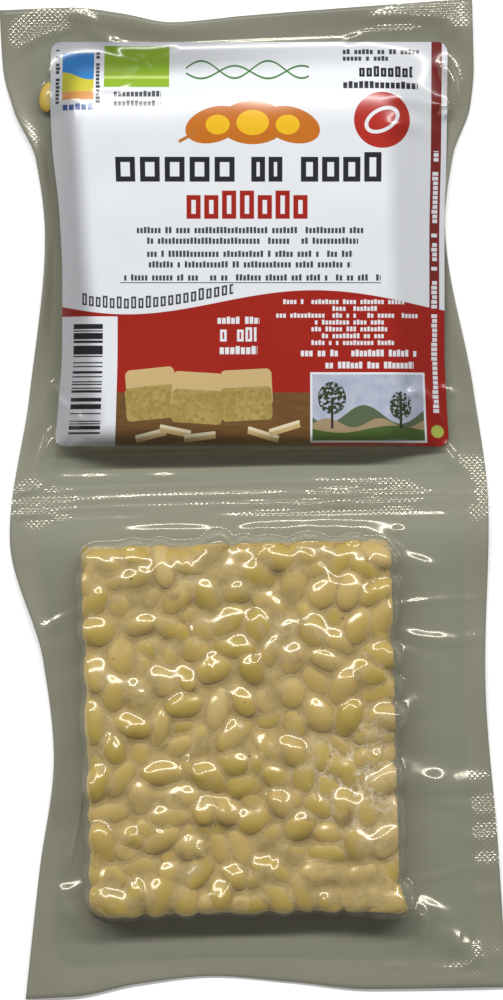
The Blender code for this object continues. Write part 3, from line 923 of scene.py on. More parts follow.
def add_beans(name, beans, cake, draw, haze_map):
    """All the beans of a cake as one piece, with the ripeness of each and the haze of mould on it."""
    heap = bmesh.new()
    count = len(bean_shape.vertices)
    for centre, half, turn in beans:
        heap.from_mesh(bean_shape)
        put = Matrix.Translation(centre) @ turn.to_4x4() @ Matrix.Diagonal((*half, 1))
        bmesh.ops.transform(heap, matrix=put, verts=heap.verts[-count:])
    data = bpy.data.meshes.new(name)
    heap.to_mesh(data)
    heap.free()
    places = np.empty(len(data.vertices) * 3)
    data.vertices.foreach_get("co", places)
    x, y, z = places.reshape(-1, 3).T
    x, y = pressed(x, cake[0], CAKE_HALF[0]), pressed(y, cake[1], CAKE_HALF[1])
    x, y = pulled(x, y)
    film = read_map(film_map, x, y) - UNDER_FILM
    haze = read_map(haze_map, x, y)
    from_wall = np.minimum(CAKE_HALF[0] - abs(x - cake[0]), CAKE_HALF[1] - abs(y - cake[1]))
    haze = np.maximum(haze, WALL_HAZE * (1 - smooth_step(from_wall / WALL_HAZE_REACH)))
    over = np.maximum(z - film + FLATTENING, 0)
    z = film - bedded(np.where(over > 0, FLATTENING * np.exp(-over / FLATTENING), film - z))
    place(data, x, y, np.maximum(z, BACK_THICKNESS + UNDER_FILM))
    keep(data, "ripeness", np.repeat(draw.beta(BEAN_RIPENESS, BEAN_RIPENESS, len(beans)), count))
    keep(data, "haze", haze)
    add_piece(data, soybean)


soybean = bean_material()
bare_veil, bare_haze = veil_over(bare_beans)
labelled_veil, labelled_haze = veil_over(labelled_beans)
add_beans("bare_cake_beans", bare_beans, BARE_CAKE, np.random.RandomState(8), bare_haze)
add_beans("labelled_cake_beans", labelled_beans, LABELLED_CAKE, np.random.RandomState(9), labelled_haze)
add_beans("loose_bean", loose_beans, LOOSE_BEAN, np.random.RandomState(10), veil_over(loose_beans)[1])


# ---- Body of the cakes -------------------------------------------------------------------------------
# The mould's dense, pale growth, which fills each cake between its beans and binds it to a firm slab. It
# rises over the beans' edges in a soft, matt veil just below the film, and bares their crowns.

BODY_INSET = 0.7 * MM
BARE_STEP = 0.48 * MM
LABELLED_STEP = 0.9 * MM


def body_material():
    """Matt, finely mottled growth, whiter where its threads are thick."""
    material, tree = new_material("mould_growth")
    growth = use_group(tree, mould_threads, {})
    relief = bump(tree, growth["Mottle"], 0.6, 0.3 * MM)
    finish_with(tree, add_node(tree, "ShaderNodeBsdfPrincipled", {
        "Base Color": growth["Color"], "Roughness": 0.85, "Normal": relief}))
    return material


def add_body(name, cake, veil, step):
    """A slab inside the beans, whose upper side rises to their edges in a soft veil."""
    half = np.subtract(CAKE_HALF, BODY_INSET)
    columns, rows = (np.linspace(-side, side, round(2 * side / step)) for side in half)
    data, x, y, upper = sheet(name, columns + cake[0], rows + cake[1], thick=True)
    x, y = pulled(x, y)
    top = read_map(film_map - UNDER_FILM - bedded(film_map - UNDER_FILM - veil), x, y)
    place(data, x, y, np.where(upper, top, BACK_THICKNESS + UNDER_FILM))
    add_piece(data, mould_growth)


mould_growth = body_material()
add_body("bare_cake", BARE_CAKE, bare_veil, BARE_STEP)
add_body("labelled_cake", LABELLED_CAKE, labelled_veil, LABELLED_STEP)


# ---- Specks on the bare cake -------------------------------------------------------------------------
# A few dark grains, no wider than a pinhead, where the mould has spored or a scrap of hull was left. Each
# lies flat in the face, just under the film.

SPECKS = 16
SPECK_HALF = (0.22 * MM, 0.62 * MM)
SPECKLED_SHARE = 0.9
SPECK_COLOR = (0.035, 0.022, 0.012, 1)


def add_specks(draw):
    """Flat grains strewn over the face, a few of them larger than the rest."""
    grains = bmesh.new()
    for x, y in draw.uniform(-SPECKLED_SHARE, SPECKLED_SHARE, (SPECKS, 2)) * CAKE_HALF + BARE_CAKE:
        width = SPECK_HALF[0] + (SPECK_HALF[1] - SPECK_HALF[0]) * draw.uniform() ** 3
        z = float(read_map(film_map, np.array([x]), np.array([y]))[0]) - UNDER_FILM - SPECK_HALF[0]
        turn = Matrix.Rotation(draw.uniform(0, math.pi), 4, "Z")
        size = Matrix.Diagonal((width, width * draw.uniform(0.5, 1), SPECK_HALF[0], 1))
        put = Matrix.Translation((x, y, z)) @ turn @ size
        bmesh.ops.create_icosphere(grains, subdivisions=1, radius=1, matrix=put)
    data = bpy.data.meshes.new("bare_cake_specks")
    grains.to_mesh(data)
    grains.free()
    material, tree = new_material("spored_mould")
    color = mixed(tree, noise(tree, 900.0), SPECK_COLOR, BEAN_BROWN)
    finish_with(tree, add_node(tree, "ShaderNodeBsdfPrincipled", {"Base Color": color, "Roughness": 0.8}))
    add_piece(data, material)


add_specks(np.random.RandomState(6))


# ---- Upper film --------------------------------------------------------------------------------------
# Clear, glossy film over each pocket, a little milky. Its welded flange round the pockets is embossed by the
# sealing bar with a fine crossed hatch, which sparkles where the bar pressed hardest.

SEAL_EDGE = 1.5 * MM
HATCH_PITCH = 1.5 * MM
HATCH_DEPTH = 0.18 * MM
LIGHTLY_PRESSED = 0.2
# Where the bar pressed hardest: middle and half sizes of each oval patch, in millimetres.
HARD_PRESSED = (
    ((24, 0), (28, 8)), ((-62, 0), (12, 8)), ((65, 2), (9, 10)), ((65, -96), (9, 20)), ((63, -130), (10, 7)),
    ((52, 136), (18, 7)), ((-56, 134), (12, 7)),
)
PATCH_REACH = 1.25
PATCH_EDGE = 0.5
UNEVEN_BAR = (0.33, 0.56)
FILM_GRAIN = 0.15
# How much of the film's surface shines: square on, more on the welded flange, and towards its glancing edges.
MILKY = 0.14
MILKY_SEAL = 0.06
GLANCING = (5.0, 0.8)
FILM_WARMTH = (0.88, 0.82, 0.66, 1)


def film_material():
    """Film whose surface alone shines: mostly clear, with the bar's hatch on the flange."""
    material, tree = new_material("clear_film")
    where = add_node(tree, "ShaderNodeTexCoord").outputs["Object"]
    where = add_node(tree, "ShaderNodeSeparateXYZ", {0: where}).outputs
    ridges = []
    for way in ("ADD", "SUBTRACT"):
        across = math_node(tree, way, where["X"], where["Y"])
        ridges.append(math_node(tree, "SINE", times(tree, across, math.pi / HATCH_PITCH)))
    hatch = math_node(tree, "ABSOLUTE", times(tree, *ridges))
    pressed_hard = between(tree, noise(tree, 42.0), *UNEVEN_BAR)
    hatch = times(tree, times(tree, hatch, pressed_hard), attribute(tree, "bar"))
    height = times_plus(tree, noise(tree, 260.0), FILM_GRAIN, hatch)
    relief = bump(tree, height, 1.0, HATCH_DEPTH)
    facing = add_node(tree, "ShaderNodeLayerWeight", {"Normal": relief}).outputs["Facing"]
    milky = times_plus(tree, attribute(tree, "seal"), MILKY_SEAL, MILKY)
    cover = times_plus(tree, math_node(tree, "POWER", facing, GLANCING[0]), GLANCING[1], milky)
    shiny = add_node(tree, "ShaderNodeBsdfPrincipled", {
        "Base Color": FILM_WARMTH, "Metallic": 0.45, "Roughness": 0.165, "Normal": relief})
    clear = add_node(tree, "ShaderNodeBsdfTransparent", {"Color": (1, 1, 1, 1)})
    layers = {0: cover, 1: clear.outputs[0], 2: shiny.outputs[0]}
    finish_with(tree, add_node(tree, "ShaderNodeMixShader", layers))
    return material


def add_film(name, columns, rows):
    """A stretch of the upper film, drawn in with the back film at its free edges."""
    data, x, y, _ = sheet(name, columns, rows)
    place(data, *drawn_in(x, y), read_map(film_map, x, y))
    pockets = [beyond(x, y, (0, side * POCKET_MIDDLE_Y), POCKET_HALF, POCKET_CORNER) for side in (-1, 1)]
    seal = smooth_step(np.minimum(*pockets) / SEAL_EDGE)
    keep(data, "seal", seal)
    hard = np.zeros_like(x)
    for middle, half in HARD_PRESSED:
        away = np.hypot((x / MM - middle[0]) / half[0], (y / MM - middle[1]) / half[1])
        hard = np.maximum(hard, smooth_step((PATCH_REACH - away) / PATCH_EDGE))
    keep(data, "bar", seal * (LIGHTLY_PRESSED + (1 - LIGHTLY_PRESSED) * hard))
    return add_piece(data, clear_film)


clear_film = film_material()
film_columns = stations((-69.2, -54, 0.7), (-54, 45, 0.43), (45, 69.2, 0.6))
bare_rows = stations((-141, -124, 0.7), (-124, -10, 0.43), (-10, 0, 0.35))
labelled_rows = stations((0, 10, 0.35), (10, 126, 1.0), (126, 141, 0.6))
bare_film = add_film("upper_film_bare_pocket", film_columns, bare_rows)
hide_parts("sealed_pack")
add_film("upper_film_labelled_pocket", film_columns, labelled_rows)


# ---- Label -------------------------------------------------------------------------------------------
# A thin glossy plastic label, stuck on the film over the far cake, whose sides are drawn in where the film
# goes down beside the cake. Its print is flat colours: blocks stand for words, plain shapes for pictures.

LABEL_STEP = 0.5 * MM
LABEL_THICKNESS = 0.12 * MM
# How far each side of the label stands from its middle line: (place along it, distance), in millimetres.
LABEL_LEFT = (
    (-57.6, 55.4), (-46, 54.2), (-30, 53.1), (-10, 53.0), (10, 54.0), (28, 56.0), (40, 56.5), (57.6, 56.5),
)
LABEL_RIGHT = ((-57.6, 57.0), (-46, 56.2), (-30, 55.6), (0, 55.6), (28, 56.2), (57.6, 56.5))
# They draw in by this power of the distance from the middle line, so that the print there keeps its place.
DRAWN_POWER = 3
# Painted shade: the label's colour darkens where there is no cake behind it, and most on its left.
HOLLOW_SHADE = 0.52
HOLLOW_RIGHT = 0.4
HOLLOW_FADE = 6.0 * MM
HOLLOW_INSIDE = 2.0 * MM
HOLLOW_WIDER = 6.0 * MM
HOLLOW_SIDE = 20.0 * MM
# The flat map of the label's own places counts in tenths of a metre, so that the label fills it.
FLAT_UNIT = 0.1
INK_EDGE = 0.11 * MM
# Blocks for letters: the share that stand tall, half the height of the others, and how far apart lines draw.
TALL_SHARE = 0.3
LOW_BLOCK = 0.42
SEED_STEP = 71.3
FLOURISH_HALF = 0.3 * MM
# The wave between the white and the red: half its length, its lowest place, its middle height and its swing.
WAVE_HALF_LENGTH = 54.0 * MM
WAVE_LOWEST = 21.0 * MM
WAVE_MIDDLE = 40.7 * MM
WAVE_SWING = 3.4 * MM
BAR_PITCH = 0.36 * MM
BAR_GAPS = 0.45
LABEL_WHITE = (0.80, 0.82, 0.85, 1)
LABEL_RED = (0.36, 0.014, 0.006, 1)
STRIP_RED = (0.21, 0.020, 0.016, 1)
PRINT_BLACK = (0.016, 0.018, 0.022, 1)
PRINT_GREY = (0.055, 0.06, 0.07, 1)
PRINT_GREEN = (0.27, 0.44, 0.025, 1)
FLOURISH_GREEN = (0.06, 0.20, 0.05, 1)
SKY_BLUE = (0.035, 0.24, 0.64, 1)
BEAN_YELLOW = (0.86, 0.50, 0.012, 1)
BEAN_ORANGE = (0.56, 0.16, 0.012, 1)
STEM_BROWN = (0.50, 0.17, 0.03, 1)
DISC_RED = (0.45, 0.024, 0.013, 1)
DOT_GREEN = (0.45, 0.52, 0.10, 1)
PALE_GREEN = (0.52, 0.66, 0.16, 1)
FIELD_YELLOW = (0.62, 0.56, 0.05, 1)
FIELD_ORANGE = (0.72, 0.33, 0.10, 1)
SIGN_BLUE = (0.06, 0.12, 0.32, 1)
WOOD_BROWNS = ((0.10, 0.045, 0.012, 1), (0.22, 0.11, 0.032, 1))
WOOD_GRAIN = (90.0, 900.0, 0)
SLICE_TAN = (0.62, 0.45, 0.20, 1)
SLICE_PALE = (0.78, 0.70, 0.48, 1)
SLICE_SIDES = ((0.33, 0.24, 0.06, 1), (0.55, 0.42, 0.14, 1))
CRUMB_PALE = 0.55
CLOUD_BLUES = ((0.28, 0.33, 0.48, 1), (0.62, 0.64, 0.70, 1))
# Hills, far to near: middle height and swing in millimetres, radians a metre, and colour.
HILLS = (
    (9.0, 2.6, 300.0, (0.10, 0.13, 0.07, 1)), (6.6, 1.3, 420.0, (0.36, 0.27, 0.15, 1)),
    (4.8, 1.0, 210.0, (0.07, 0.12, 0.025, 1)),
)
TRUNK_DARK = (0.03, 0.025, 0.02, 1)
TREE_GREEN = (0.035, 0.05, 0.02, 1)
LEAFY_RANGE = (0.42, 0.5)
NO_LIGHT = (0, 0, 0, 1)


def inked(tree, away):
    """Full ink where the distance from the edge of a printed shape is negative, with a narrow soft edge."""
    return between(tree, away, INK_EDGE / 2, -INK_EDGE / 2)


def turned(group, given):
    """Distance of a place from the middle of a printed shape, along the shape's own two directions."""
    du = less(group, given["U"], given["Middle U"])
    dv = less(group, given["V"], given["Middle V"])
    cosine, sine = (math_node(group, way, given["Turn"]) for way in ("COSINE", "SINE"))
    across = times_plus(group, dv, sine, times(group, du, cosine))
    up = less(group, times(group, dv, cosine), times(group, du, sine))
    return across, up


def box_group():
    """Ink inside a rounded box."""
    names = ("U", "V", "Middle U", "Middle V", "Half U", "Half V", "Corner", "Turn")
    group, given, result = new_group(
        "Printed box", [(name, "NodeSocketFloat", 0.0) for name in names], [("Ink", "NodeSocketFloat")])
    side = []
    for place_on, half in zip(turned(group, given), ("Half U", "Half V")):
        over = less(group, math_node(group, "ABSOLUTE", place_on), given[half])
        side.append(plus(group, over, given["Corner"]))
    beside = [math_node(group, "MAXIMUM", value, 0.0) for value in side]
    squares = times_plus(group, beside[0], beside[0], times(group, beside[1], beside[1]))
    inner = math_node(group, "MINIMUM", math_node(group, "MAXIMUM", *side), 0.0)
    away = plus(group, math_node(group, "SQRT", squares), inner)
    group.links.new(inked(group, less(group, away, given["Corner"])), result["Ink"])
    return group


def oval_group():
    """Ink inside an oval."""
    names = ("U", "V", "Middle U", "Middle V", "Half U", "Half V", "Turn")
    group, given, result = new_group(
        "Printed oval", [(name, "NodeSocketFloat", 0.001) for name in names], [("Ink", "NodeSocketFloat")])
    across, up = turned(group, given)
    squares = []
    for place_on, half in ((across, "Half U"), (up, "Half V")):
        share = math_node(group, "DIVIDE", place_on, given[half])
        squares.append(times(group, share, share))
    out = less(group, math_node(group, "SQRT", plus(group, *squares)), 1.0)
    smaller = math_node(group, "MINIMUM", given["Half U"], given["Half V"])
    group.links.new(inked(group, times(group, out, smaller)), result["Ink"])
    return group


def words_group():
    """A line of blocks that stand for letters, with gaps at random between the words."""
    names = ("Along", "Up", "Start", "End", "Height", "Pitch", "Fill", "Spaces", "Open", "Seed")
    group, given, result = new_group(
        "Printed words", [(name, "NodeSocketFloat", 0.001) for name in names], [("Ink", "NodeSocketFloat")])
    steps = math_node(group, "DIVIDE", less(group, given["Along"], given["Start"]), given["Pitch"])
    letter = math_node(group, "FLOOR", steps)
    chance = add_node(group, "ShaderNodeTexWhiteNoise", {
        "W": times_plus(group, given["Seed"], SEED_STEP, letter)}, noise_dimensions="1D").outputs["Value"]
    taller = math_node(group, "GREATER_THAN", chance, 1 - TALL_SHARE)
    half_height = times(group, given["Height"], times_plus(group, taller, 0.5 - LOW_BLOCK, LOW_BLOCK))
    middle = less(group, math_node(group, "FRACT", steps), 0.5)
    across = times(group, math_node(group, "ABSOLUTE", middle), given["Pitch"])
    half_width = times(group, times(group, given["Pitch"], given["Fill"]), 0.5)
    up = math_node(group, "ABSOLUTE", less(group, given["Up"], half_height))
    away = math_node(group, "MAXIMUM", less(group, across, half_width),
                     less(group, up, half_height))
    hole = times(group, inked(group, plus(group, away, given["Open"])),
                     math_node(group, "GREATER_THAN", given["Open"], INK_EDGE))
    block = less(group, inked(group, away), hole)
    word = math_node(group, "GREATER_THAN", chance, given["Spaces"])
    started = math_node(group, "GREATER_THAN", given["Along"], given["Start"])
    going = math_node(group, "LESS_THAN", given["Along"], given["End"])
    shown = times(group, times(group, word, started), going)
    group.links.new(times(group, block, shown), result["Ink"])
    return group


class LabelPrint:
    """The label's print, laid down one ink over another on the label's own flat millimetres."""

    def __init__(self, tree):
        self.tree = tree
        layout = add_node(tree, "ShaderNodeUVMap", uv_map="flat").outputs[0]
        metres = {0: layout, 1: (FLAT_UNIT, FLAT_UNIT, 0)}
        self.point = add_node(tree, "ShaderNodeVectorMath", metres, operation="MULTIPLY").outputs[0]
        parts = add_node(tree, "ShaderNodeSeparateXYZ", {0: self.point}).outputs
        self.u, self.v = parts["X"], parts["Y"]
        self.color = LABEL_WHITE
        self.seed = 0

    def ink(self, mask, color):
        """Prints this colour over what is there."""
        self.color = mixed(self.tree, mask, self.color, color)

    def shape(self, middle, half, turn):
        """The inputs that place a printed shape."""
        return {"U": self.u, "V": self.v, "Middle U": middle[0] * MM, "Middle V": middle[1] * MM,
                "Half U": half[0] * MM, "Half V": half[1] * MM, "Turn": turn}

    def box_mask(self, left, low, right, high, corner=0.0, turn=0.0):
        """Ink inside a box between these sides."""
        middle, half = ((left + right) / 2, (low + high) / 2), ((right - left) / 2, (high - low) / 2)
        inputs = {**self.shape(middle, half, turn), "Corner": corner * MM}
        return use_group(self.tree, printed_box, inputs)["Ink"]

    def box(self, left, low, right, high, color, corner=0.0, turn=0.0):
        """Prints a box."""
        self.ink(self.box_mask(left, low, right, high, corner, turn), color)

    def oval_mask(self, middle, half, turn=0.0):
        """Ink inside an oval."""
        return use_group(self.tree, printed_oval, self.shape(middle, half, turn))["Ink"]

    def oval(self, middle, half, color, turn=0.0):
        """Prints an oval."""
        self.ink(self.oval_mask(middle, half, turn), color)

    def words(self, start, end, low, height, color, pitch=1.15, fill=0.78, spaces=0.16, line=0.0,
              along=None, up=None):
        """Prints a line of blocks for words, open ones where a line width is given."""
        self.seed += 1
        along = self.u if along is None else along
        up = less(self.tree, self.v, low * MM) if up is None else up
        inputs = {"Along": along, "Up": up, "Start": start * MM, "End": end * MM, "Height": height * MM,
                  "Pitch": pitch * MM, "Fill": fill, "Spaces": spaces, "Open": line * MM, "Seed": self.seed}
        self.ink(use_group(self.tree, printed_words, inputs)["Ink"], color)


def waving(tree, along, turns, size, height):
    """The height of a wavy line, whose bends are this many radians a metre apart."""
    return times_plus(tree, math_node(tree, "SINE", times(tree, along, turns)), size * MM, height * MM)


def print_grounds(art):
    """The red strip down the right side and the red field below the wave. Gives the height above the wave."""
    art.box(108.4, -1, 111.4, 116, STRIP_RED)
    turned_by = -WAVE_LOWEST / WAVE_HALF_LENGTH * math.pi
    swing = math_node(art.tree, "COSINE", times_plus(art.tree, art.u, math.pi / WAVE_HALF_LENGTH, turned_by))
    above = less(art.tree, art.v, times_plus(art.tree, swing, -WAVE_SWING, WAVE_MIDDLE))
    art.ink(inked(art.tree, above), LABEL_RED)
    return above


def print_words_on_white(art, above):
    """The name in large open blocks, lines of small ones under it, one line along the wave, and a corner."""
    art.words(17.6, 53.4, 74.8, 8.4, PRINT_BLACK, pitch=7.1, fill=0.8, spaces=0, line=1.5)
    art.words(56.6, 66.4, 74.8, 8.4, PRINT_BLACK, pitch=4.9, fill=0.8, spaces=0, line=1.5)
    art.words(70.6, 94.6, 74.8, 8.4, PRINT_BLACK, pitch=6.0, fill=0.82, spaces=0, line=1.5)
    art.words(38.2, 73.6, 64.3, 8.0, LABEL_RED, pitch=5.05, fill=0.8, spaces=0, line=1.4)
    lines = ((24, 89, 60.2), (26, 87.5, 57.2), (27, 86, 53.5), (27.5, 85.5, 50.5), (19, 94, 46.8))
    for start, end, low in lines:
        art.words(start, end, low, 1.8, PRINT_GREY, pitch=1.05, fill=0.7)
    art.box(19, 46.1, 94, 46.35, PRINT_GREY)
    on_wave = less(art.tree, above, 1.6 * MM)
    art.words(6.6, 52, 0, 3.4, PRINT_GREY, pitch=2.2, fill=0.7, spaces=0.07, up=on_wave, line=0.55)
    art.words(83, 105, 111.6, 1.5, PRINT_GREY, pitch=1.1)
    art.words(83, 96, 109.6, 1.5, PRINT_GREY, pitch=1.1)
    art.words(87.5, 103, 104.8, 3.2, PRINT_BLACK, pitch=2.05, spaces=0.12, line=0.7)
    art.words(83, 104.5, 101.4, 2.1, PRINT_BLACK, pitch=1.5, spaces=0.12)


def print_words_on_red(art):
    """Words in white on the red field and up the red strip, which ends in a green dot."""
    art.words(47.4, 59.4, 34.6, 2.0, LABEL_WHITE, pitch=1.3)
    art.words(48, 58.6, 29.6, 4.0, LABEL_WHITE, pitch=2.4, spaces=0.2, line=0.7)
    art.words(48, 58.8, 26.0, 2.3, LABEL_WHITE, pitch=1.5, spaces=0)
    ends = ((66, 101), (78, 93), (64, 105), (75, 96), (74, 96), (77, 95), (74, 98))
    for number, (start, end) in enumerate(ends):
        art.words(start, end, 40.2 - 1.93 * number, 1.35, LABEL_WHITE, pitch=1.0, fill=0.72)
    art.words(71, 104.6, 25.4, 1.9, LABEL_WHITE, pitch=1.2)
    art.words(78, 103.6, 22.0, 1.9, LABEL_WHITE, pitch=1.2)
    up_strip = less(art.tree, 110.7 * MM, art.u)
    art.words(8, 84, 0, 1.7, LABEL_WHITE, pitch=1.35, along=art.v, up=up_strip)
    art.oval((109.9, 4.2), (1.8, 1.8), DOT_GREEN)


def print_bars(art):
    """A white panel of plain dark bars of random widths."""
    art.box(-1, -1, 18.2, 36.7, LABEL_WHITE, corner=0.2)
    step = math_node(art.tree, "FLOOR", math_node(art.tree, "DIVIDE", art.v, BAR_PITCH))
    bar = add_node(art.tree, "ShaderNodeTexWhiteNoise", {"W": step}, noise_dimensions="1D")
    dark = math_node(art.tree, "GREATER_THAN", bar.outputs["Value"], BAR_GAPS)
    art.ink(times(art.tree, dark, art.box_mask(4.0, 3.4, 13.6, 34.6)), PRINT_BLACK)


def print_signs(art):
    """A green oblong with a paler band, and a small sign of sky and fields with words beside it."""
    art.box(15.3, 101.8, 33.8, 114.0, PRINT_GREEN)
    art.box(15.3, 104.2, 33.8, 105.2, PALE_GREEN)
    art.words(18, 31.5, 99.0, 1.7, PRINT_GREY, pitch=1.2)
    art.words(18, 31.5, 96.2, 1.7, PRINT_GREY, pitch=1.2)
    art.box(3.4, 103.0, 12.4, 112.0, SKY_BLUE)
    under = math_node(art.tree, "LESS_THAN", art.v, waving(art.tree, art.u, 420.0, 1.1, 105.2))
    art.ink(times(art.tree, under, art.box_mask(3.4, 98.2, 12.4, 112.0)), FIELD_YELLOW)
    art.box(3.4, 98.2, 12.4, 100.6, FIELD_ORANGE)
    art.words(3.4, 12.4, 95.2, 1.9, SIGN_BLUE, pitch=1.8, spaces=0)
    for left in (1.5, 13.0):
        upright = less(art.tree, art.u, left * MM)
        art.words(97, 113, 0, 1.2, PRINT_GREY, pitch=1.1, along=art.v, up=upright)


def print_flourish(art):
    """Two thin green lines that wave across each other."""
    curl = math_node(art.tree, "SINE", times(art.tree, art.u, 330.0))
    for lift, size in ((107.0, 2.6), (106.2, -1.9)):
        line = times_plus(art.tree, curl, size * MM, lift * MM)
        off = math_node(art.tree, "ABSOLUTE", less(art.tree, art.v, line))
        stroke = inked(art.tree, less(art.tree, off, FLOURISH_HALF))
        art.ink(times(art.tree, stroke, art.box_mask(38.5, 100, 73.5, 113)), FLOURISH_GREEN)


def print_beans(art):
    """An open orange pod with three yellow soybeans and a short stem, and a pale bean on a red disc."""
    for middle, half, turn in (((46.6, 91.0), (8.4, 5.0), 0.3), ((68.4, 91.0), (8.4, 5.0), -0.3)):
        art.oval(middle, half, BEAN_ORANGE, turn=turn)
    art.oval((57.5, 91.6), (9.6, 6.2), BEAN_ORANGE)
    for middle, half in (((47.6, 91.0), (3.4, 2.8)), ((57.5, 91.6), (4.6, 3.6)), ((67.4, 91.0), (3.4, 2.8))):
        art.oval(middle, half, BEAN_YELLOW)
    art.box(36.2, 87.0, 41.8, 87.9, STEM_BROWN, corner=0.3, turn=0.5)
    art.oval((94.2, 92.4), (8.0, 8.0), DISC_RED)
    art.oval((94.2, 92.4), (5.4, 3.4), LABEL_WHITE, turn=0.5)
    art.oval((94.2, 92.4), (4.3, 2.4), DISC_RED, turn=0.5)


def print_slices(art):
    """Pale slices and sticks on a wooden board."""
    stretch = {0: art.point, 1: WOOD_GRAIN}
    stretched = add_node(art.tree, "ShaderNodeVectorMath", stretch, operation="MULTIPLY").outputs[0]
    wood = mixed(art.tree, noise(art.tree, 1.0, stretched, detail=3.0), *WOOD_BROWNS)
    art.ink(art.box_mask(18.2, -1, 74.0, 15.2), wood)
    crumb = add_node(art.tree, "ShaderNodeTexVoronoi", {"Vector": art.point, "Scale": 900.0}).outputs["Color"]
    crumb = times(art.tree, add_node(art.tree, "ShaderNodeSeparateXYZ", {0: crumb}).outputs["X"], CRUMB_PALE)
    for left, low, turn in ((21.0, 7.5, 0.10), (34.5, 6.4, -0.06), (48.5, 7.2, 0.05)):
        art.box(left, low + 4, left + 14.5, low + 14.5, SLICE_TAN, corner=1.6, turn=turn)
        face = mixed(art.tree, crumb, *SLICE_SIDES)
        art.ink(art.box_mask(left, low, left + 14.5, low + 9.5, corner=1.4, turn=turn), face)
    sticks = ((24, 2.0, 0.25), (31, 3.2, -0.2), (38, 1.6, 0.12), (56, 2.2, -0.3), (62, 4.0, 0.3))
    for left, low, turn in sticks:
        art.box(left, low, left + 9, low + 2.1, SLICE_TAN, corner=0.3, turn=turn)
        art.box(left, low + 1.2, left + 9, low + 2.1, SLICE_PALE, corner=0.3, turn=turn)


def print_view(art):
    """A white frame with a view of hills, fields and two trees under a pale sky."""
    art.box(73.8, 1.0, 106.8, 20.9, LABEL_WHITE)
    inside = art.box_mask(74.4, 1.6, 106.2, 20.3)
    cloud = noise(art.tree, 260.0, art.point, detail=4.0)
    art.ink(inside, mixed(art.tree, cloud, *CLOUD_BLUES))
    for height, size, turns, color in HILLS:
        line = waving(art.tree, art.u, turns, size, height)
        art.ink(times(art.tree, math_node(art.tree, "LESS_THAN", art.v, line), inside), color)
    leafy = between(art.tree, noise(art.tree, 900.0, art.point, detail=3.0), *LEAFY_RANGE)
    for middle, half in (((80.0, 13.6), (4.0, 4.6)), ((99.5, 11.5), (3.2, 4.0))):
        art.box(middle[0] - 0.35, 5.0, middle[0] + 0.35, middle[1], TRUNK_DARK)
        art.ink(times(art.tree, art.oval_mask(middle, half), leafy), TREE_GREEN)


def label_material():
    """Glossy film with the whole print, and painted shade where there is no cake behind it."""
    material, tree = new_material("label_print")
    art = LabelPrint(tree)
    above = print_grounds(art)
    print_words_on_white(art, above)
    print_words_on_red(art)
    print_bars(art)
    print_signs(art)
    print_flourish(art)
    print_beans(art)
    print_slices(art)
    print_view(art)
    # painted shade: the print darkens towards black where there is no cake behind the label
    shade = times(tree, attribute(tree, "painted_hollow_shade"), HOLLOW_SHADE)
    finish_with(tree, add_node(tree, "ShaderNodeBsdfPrincipled", {
        "Base Color": mixed(tree, shade, art.color, NO_LIGHT), "Roughness": 0.24,
        "Coat Weight": 0.25, "Coat Roughness": 0.14}))
    return material


printed_box = box_group()
printed_oval = oval_group()
printed_words = words_group()
steps = [np.linspace(-side, side, round(2 * side / LABEL_STEP)) for side in LABEL_HALF]
label_data, flat_u, flat_v, _ = sheet("label_sheet", *steps)
out = beyond(flat_u, flat_v, (0, 0), LABEL_HALF, LABEL_CORNER)
du = np.maximum(abs(flat_u) - LABEL_HALF[0] + LABEL_CORNER, 0)
dv = np.maximum(abs(flat_v) - LABEL_HALF[1] + LABEL_CORNER, 0)
shrink = np.where(out > 0, LABEL_CORNER / np.maximum(np.hypot(du, dv), LABEL_CORNER), 1)
u = np.sign(flat_u) * (abs(flat_u) - du * (1 - shrink))
v = np.sign(flat_v) * (abs(flat_v) - dv * (1 - shrink))
side = np.where(u < 0, smooth_through(LABEL_LEFT, v), smooth_through(LABEL_RIGHT, v))
drawn = np.clip(abs(u) / LABEL_HALF[0], 0, 1) ** DRAWN_POWER
bent_u = u - np.sign(u) * (LABEL_HALF[0] - side) * drawn
x = LABEL_MIDDLE[0] + bent_u * math.cos(LABEL_TURN) - v * math.sin(LABEL_TURN)
y = LABEL_MIDDLE[1] + bent_u * math.sin(LABEL_TURN) + v * math.cos(LABEL_TURN)
place(label_data, x, y, read_map(film_map, x, y) + LABEL_THICKNESS)
leftward = 0.5 - 0.5 * np.tanh(u / HOLLOW_SIDE)
inside = HOLLOW_INSIDE + HOLLOW_WIDER * leftward * (0.5 - v / LABEL_HALF[1] / 2)
# painted shade where no cake lies behind the label, most on its left
painted_hollow_shade = smooth_step((beyond(x, y, LABELLED_CAKE, CAKE_HALF, CAKE_CORNER) + inside) / HOLLOW_FADE)
keep(label_data, "painted_hollow_shade", painted_hollow_shade * (HOLLOW_RIGHT + (1 - HOLLOW_RIGHT) * leftward))
flat_map = label_data.uv_layers.new(name="flat")
corners = np.empty(len(label_data.loops), dtype=int)
label_data.loops.foreach_get("vertex_index", corners)
flat = np.stack([u + LABEL_HALF[0], v + LABEL_HALF[1]], axis=1)[corners] / FLAT_UNIT
flat_map.data.foreach_set("uv", flat.ravel())
label_piece = add_piece(label_data, label_material())
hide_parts("label")


# ---- Table, light and camera -------------------------------------------------------------------------
# A plain white table under soft, even studio light. One long, narrow lamp beyond the far end draws the bright
# lines on the film, and the camera looks straight down on the pack.

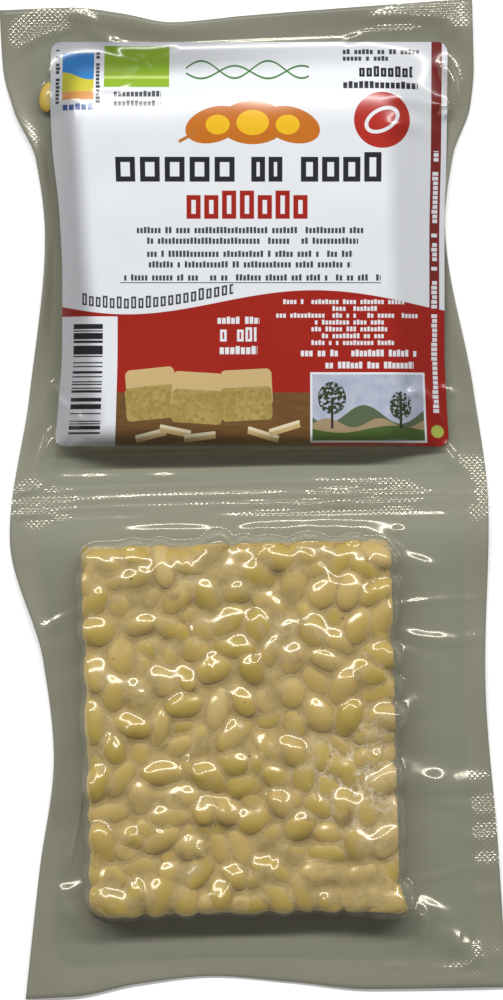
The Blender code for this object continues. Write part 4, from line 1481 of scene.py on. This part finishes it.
TABLE_DEPTH = 0.2 * MM
TABLE_HALF = 2.0
TABLE_WHITE = (0.95, 0.95, 0.95, 1)
TABLE_GLOW = 0.25
PURE_WHITE = (1, 1, 1, 1)
STUDIO_LIGHT = 0.17
STRIP_LENGTH = 4.0
STRIP_WIDTH = 0.034
STRIP_DISTANCE = 1.6
STRIP_ZENITH = math.radians(37)
STRIP_RADIANCE = 105.0
VIEW_HEIGHT = 285.0 * MM
VIEW_MIDDLE = (-0.08 * MM, -0.44 * MM)
VIEW_TURN = math.radians(-1.45)

table_stations = np.linspace(-TABLE_HALF, TABLE_HALF, 5)
table_data, x, y, _ = sheet("table", table_stations, table_stations)
place(table_data, x, y, np.full_like(x, -TABLE_DEPTH))
table = bpy.data.objects.new("table", table_data)
scene.collection.objects.link(table)
material, tree = new_material("white_table")
finish_with(tree, add_node(tree, "ShaderNodeBsdfPrincipled", {
    "Base Color": TABLE_WHITE, "Roughness": 0.9,
    "Emission Color": PURE_WHITE, "Emission Strength": TABLE_GLOW}))
table_data.materials.append(material)

strip = bpy.data.lights.new("strip", "AREA")
strip.shape = "RECTANGLE"
strip.size = STRIP_LENGTH
strip.size_y = STRIP_WIDTH
strip.energy = STRIP_RADIANCE * math.pi * STRIP_LENGTH * STRIP_WIDTH
strip_object = bpy.data.objects.new("strip", strip)
strip_object.location = (0, STRIP_DISTANCE * math.sin(STRIP_ZENITH), STRIP_DISTANCE * math.cos(STRIP_ZENITH))
strip_object.rotation_euler = (-STRIP_ZENITH, 0, 0)
scene.collection.objects.link(strip_object)

world = bpy.data.worlds.new("studio")
scene.world = world
world.use_nodes = True
feed(world.node_tree, world.node_tree.nodes["Background"], {"Color": PURE_WHITE, "Strength": STUDIO_LIGHT})
scene.view_settings.view_transform = "Standard"

camera = bpy.data.cameras.new("camera")
camera.sensor_fit = "VERTICAL"
camera.sensor_height = 36
camera.lens = 200
camera_object = bpy.data.objects.new("camera", camera)
camera_object.location = (*VIEW_MIDDLE, VIEW_HEIGHT * camera.lens / camera.sensor_height)
camera_object.rotation_euler = (0, 0, VIEW_TURN)
scene.collection.objects.link(camera_object)
scene.camera = camera_object
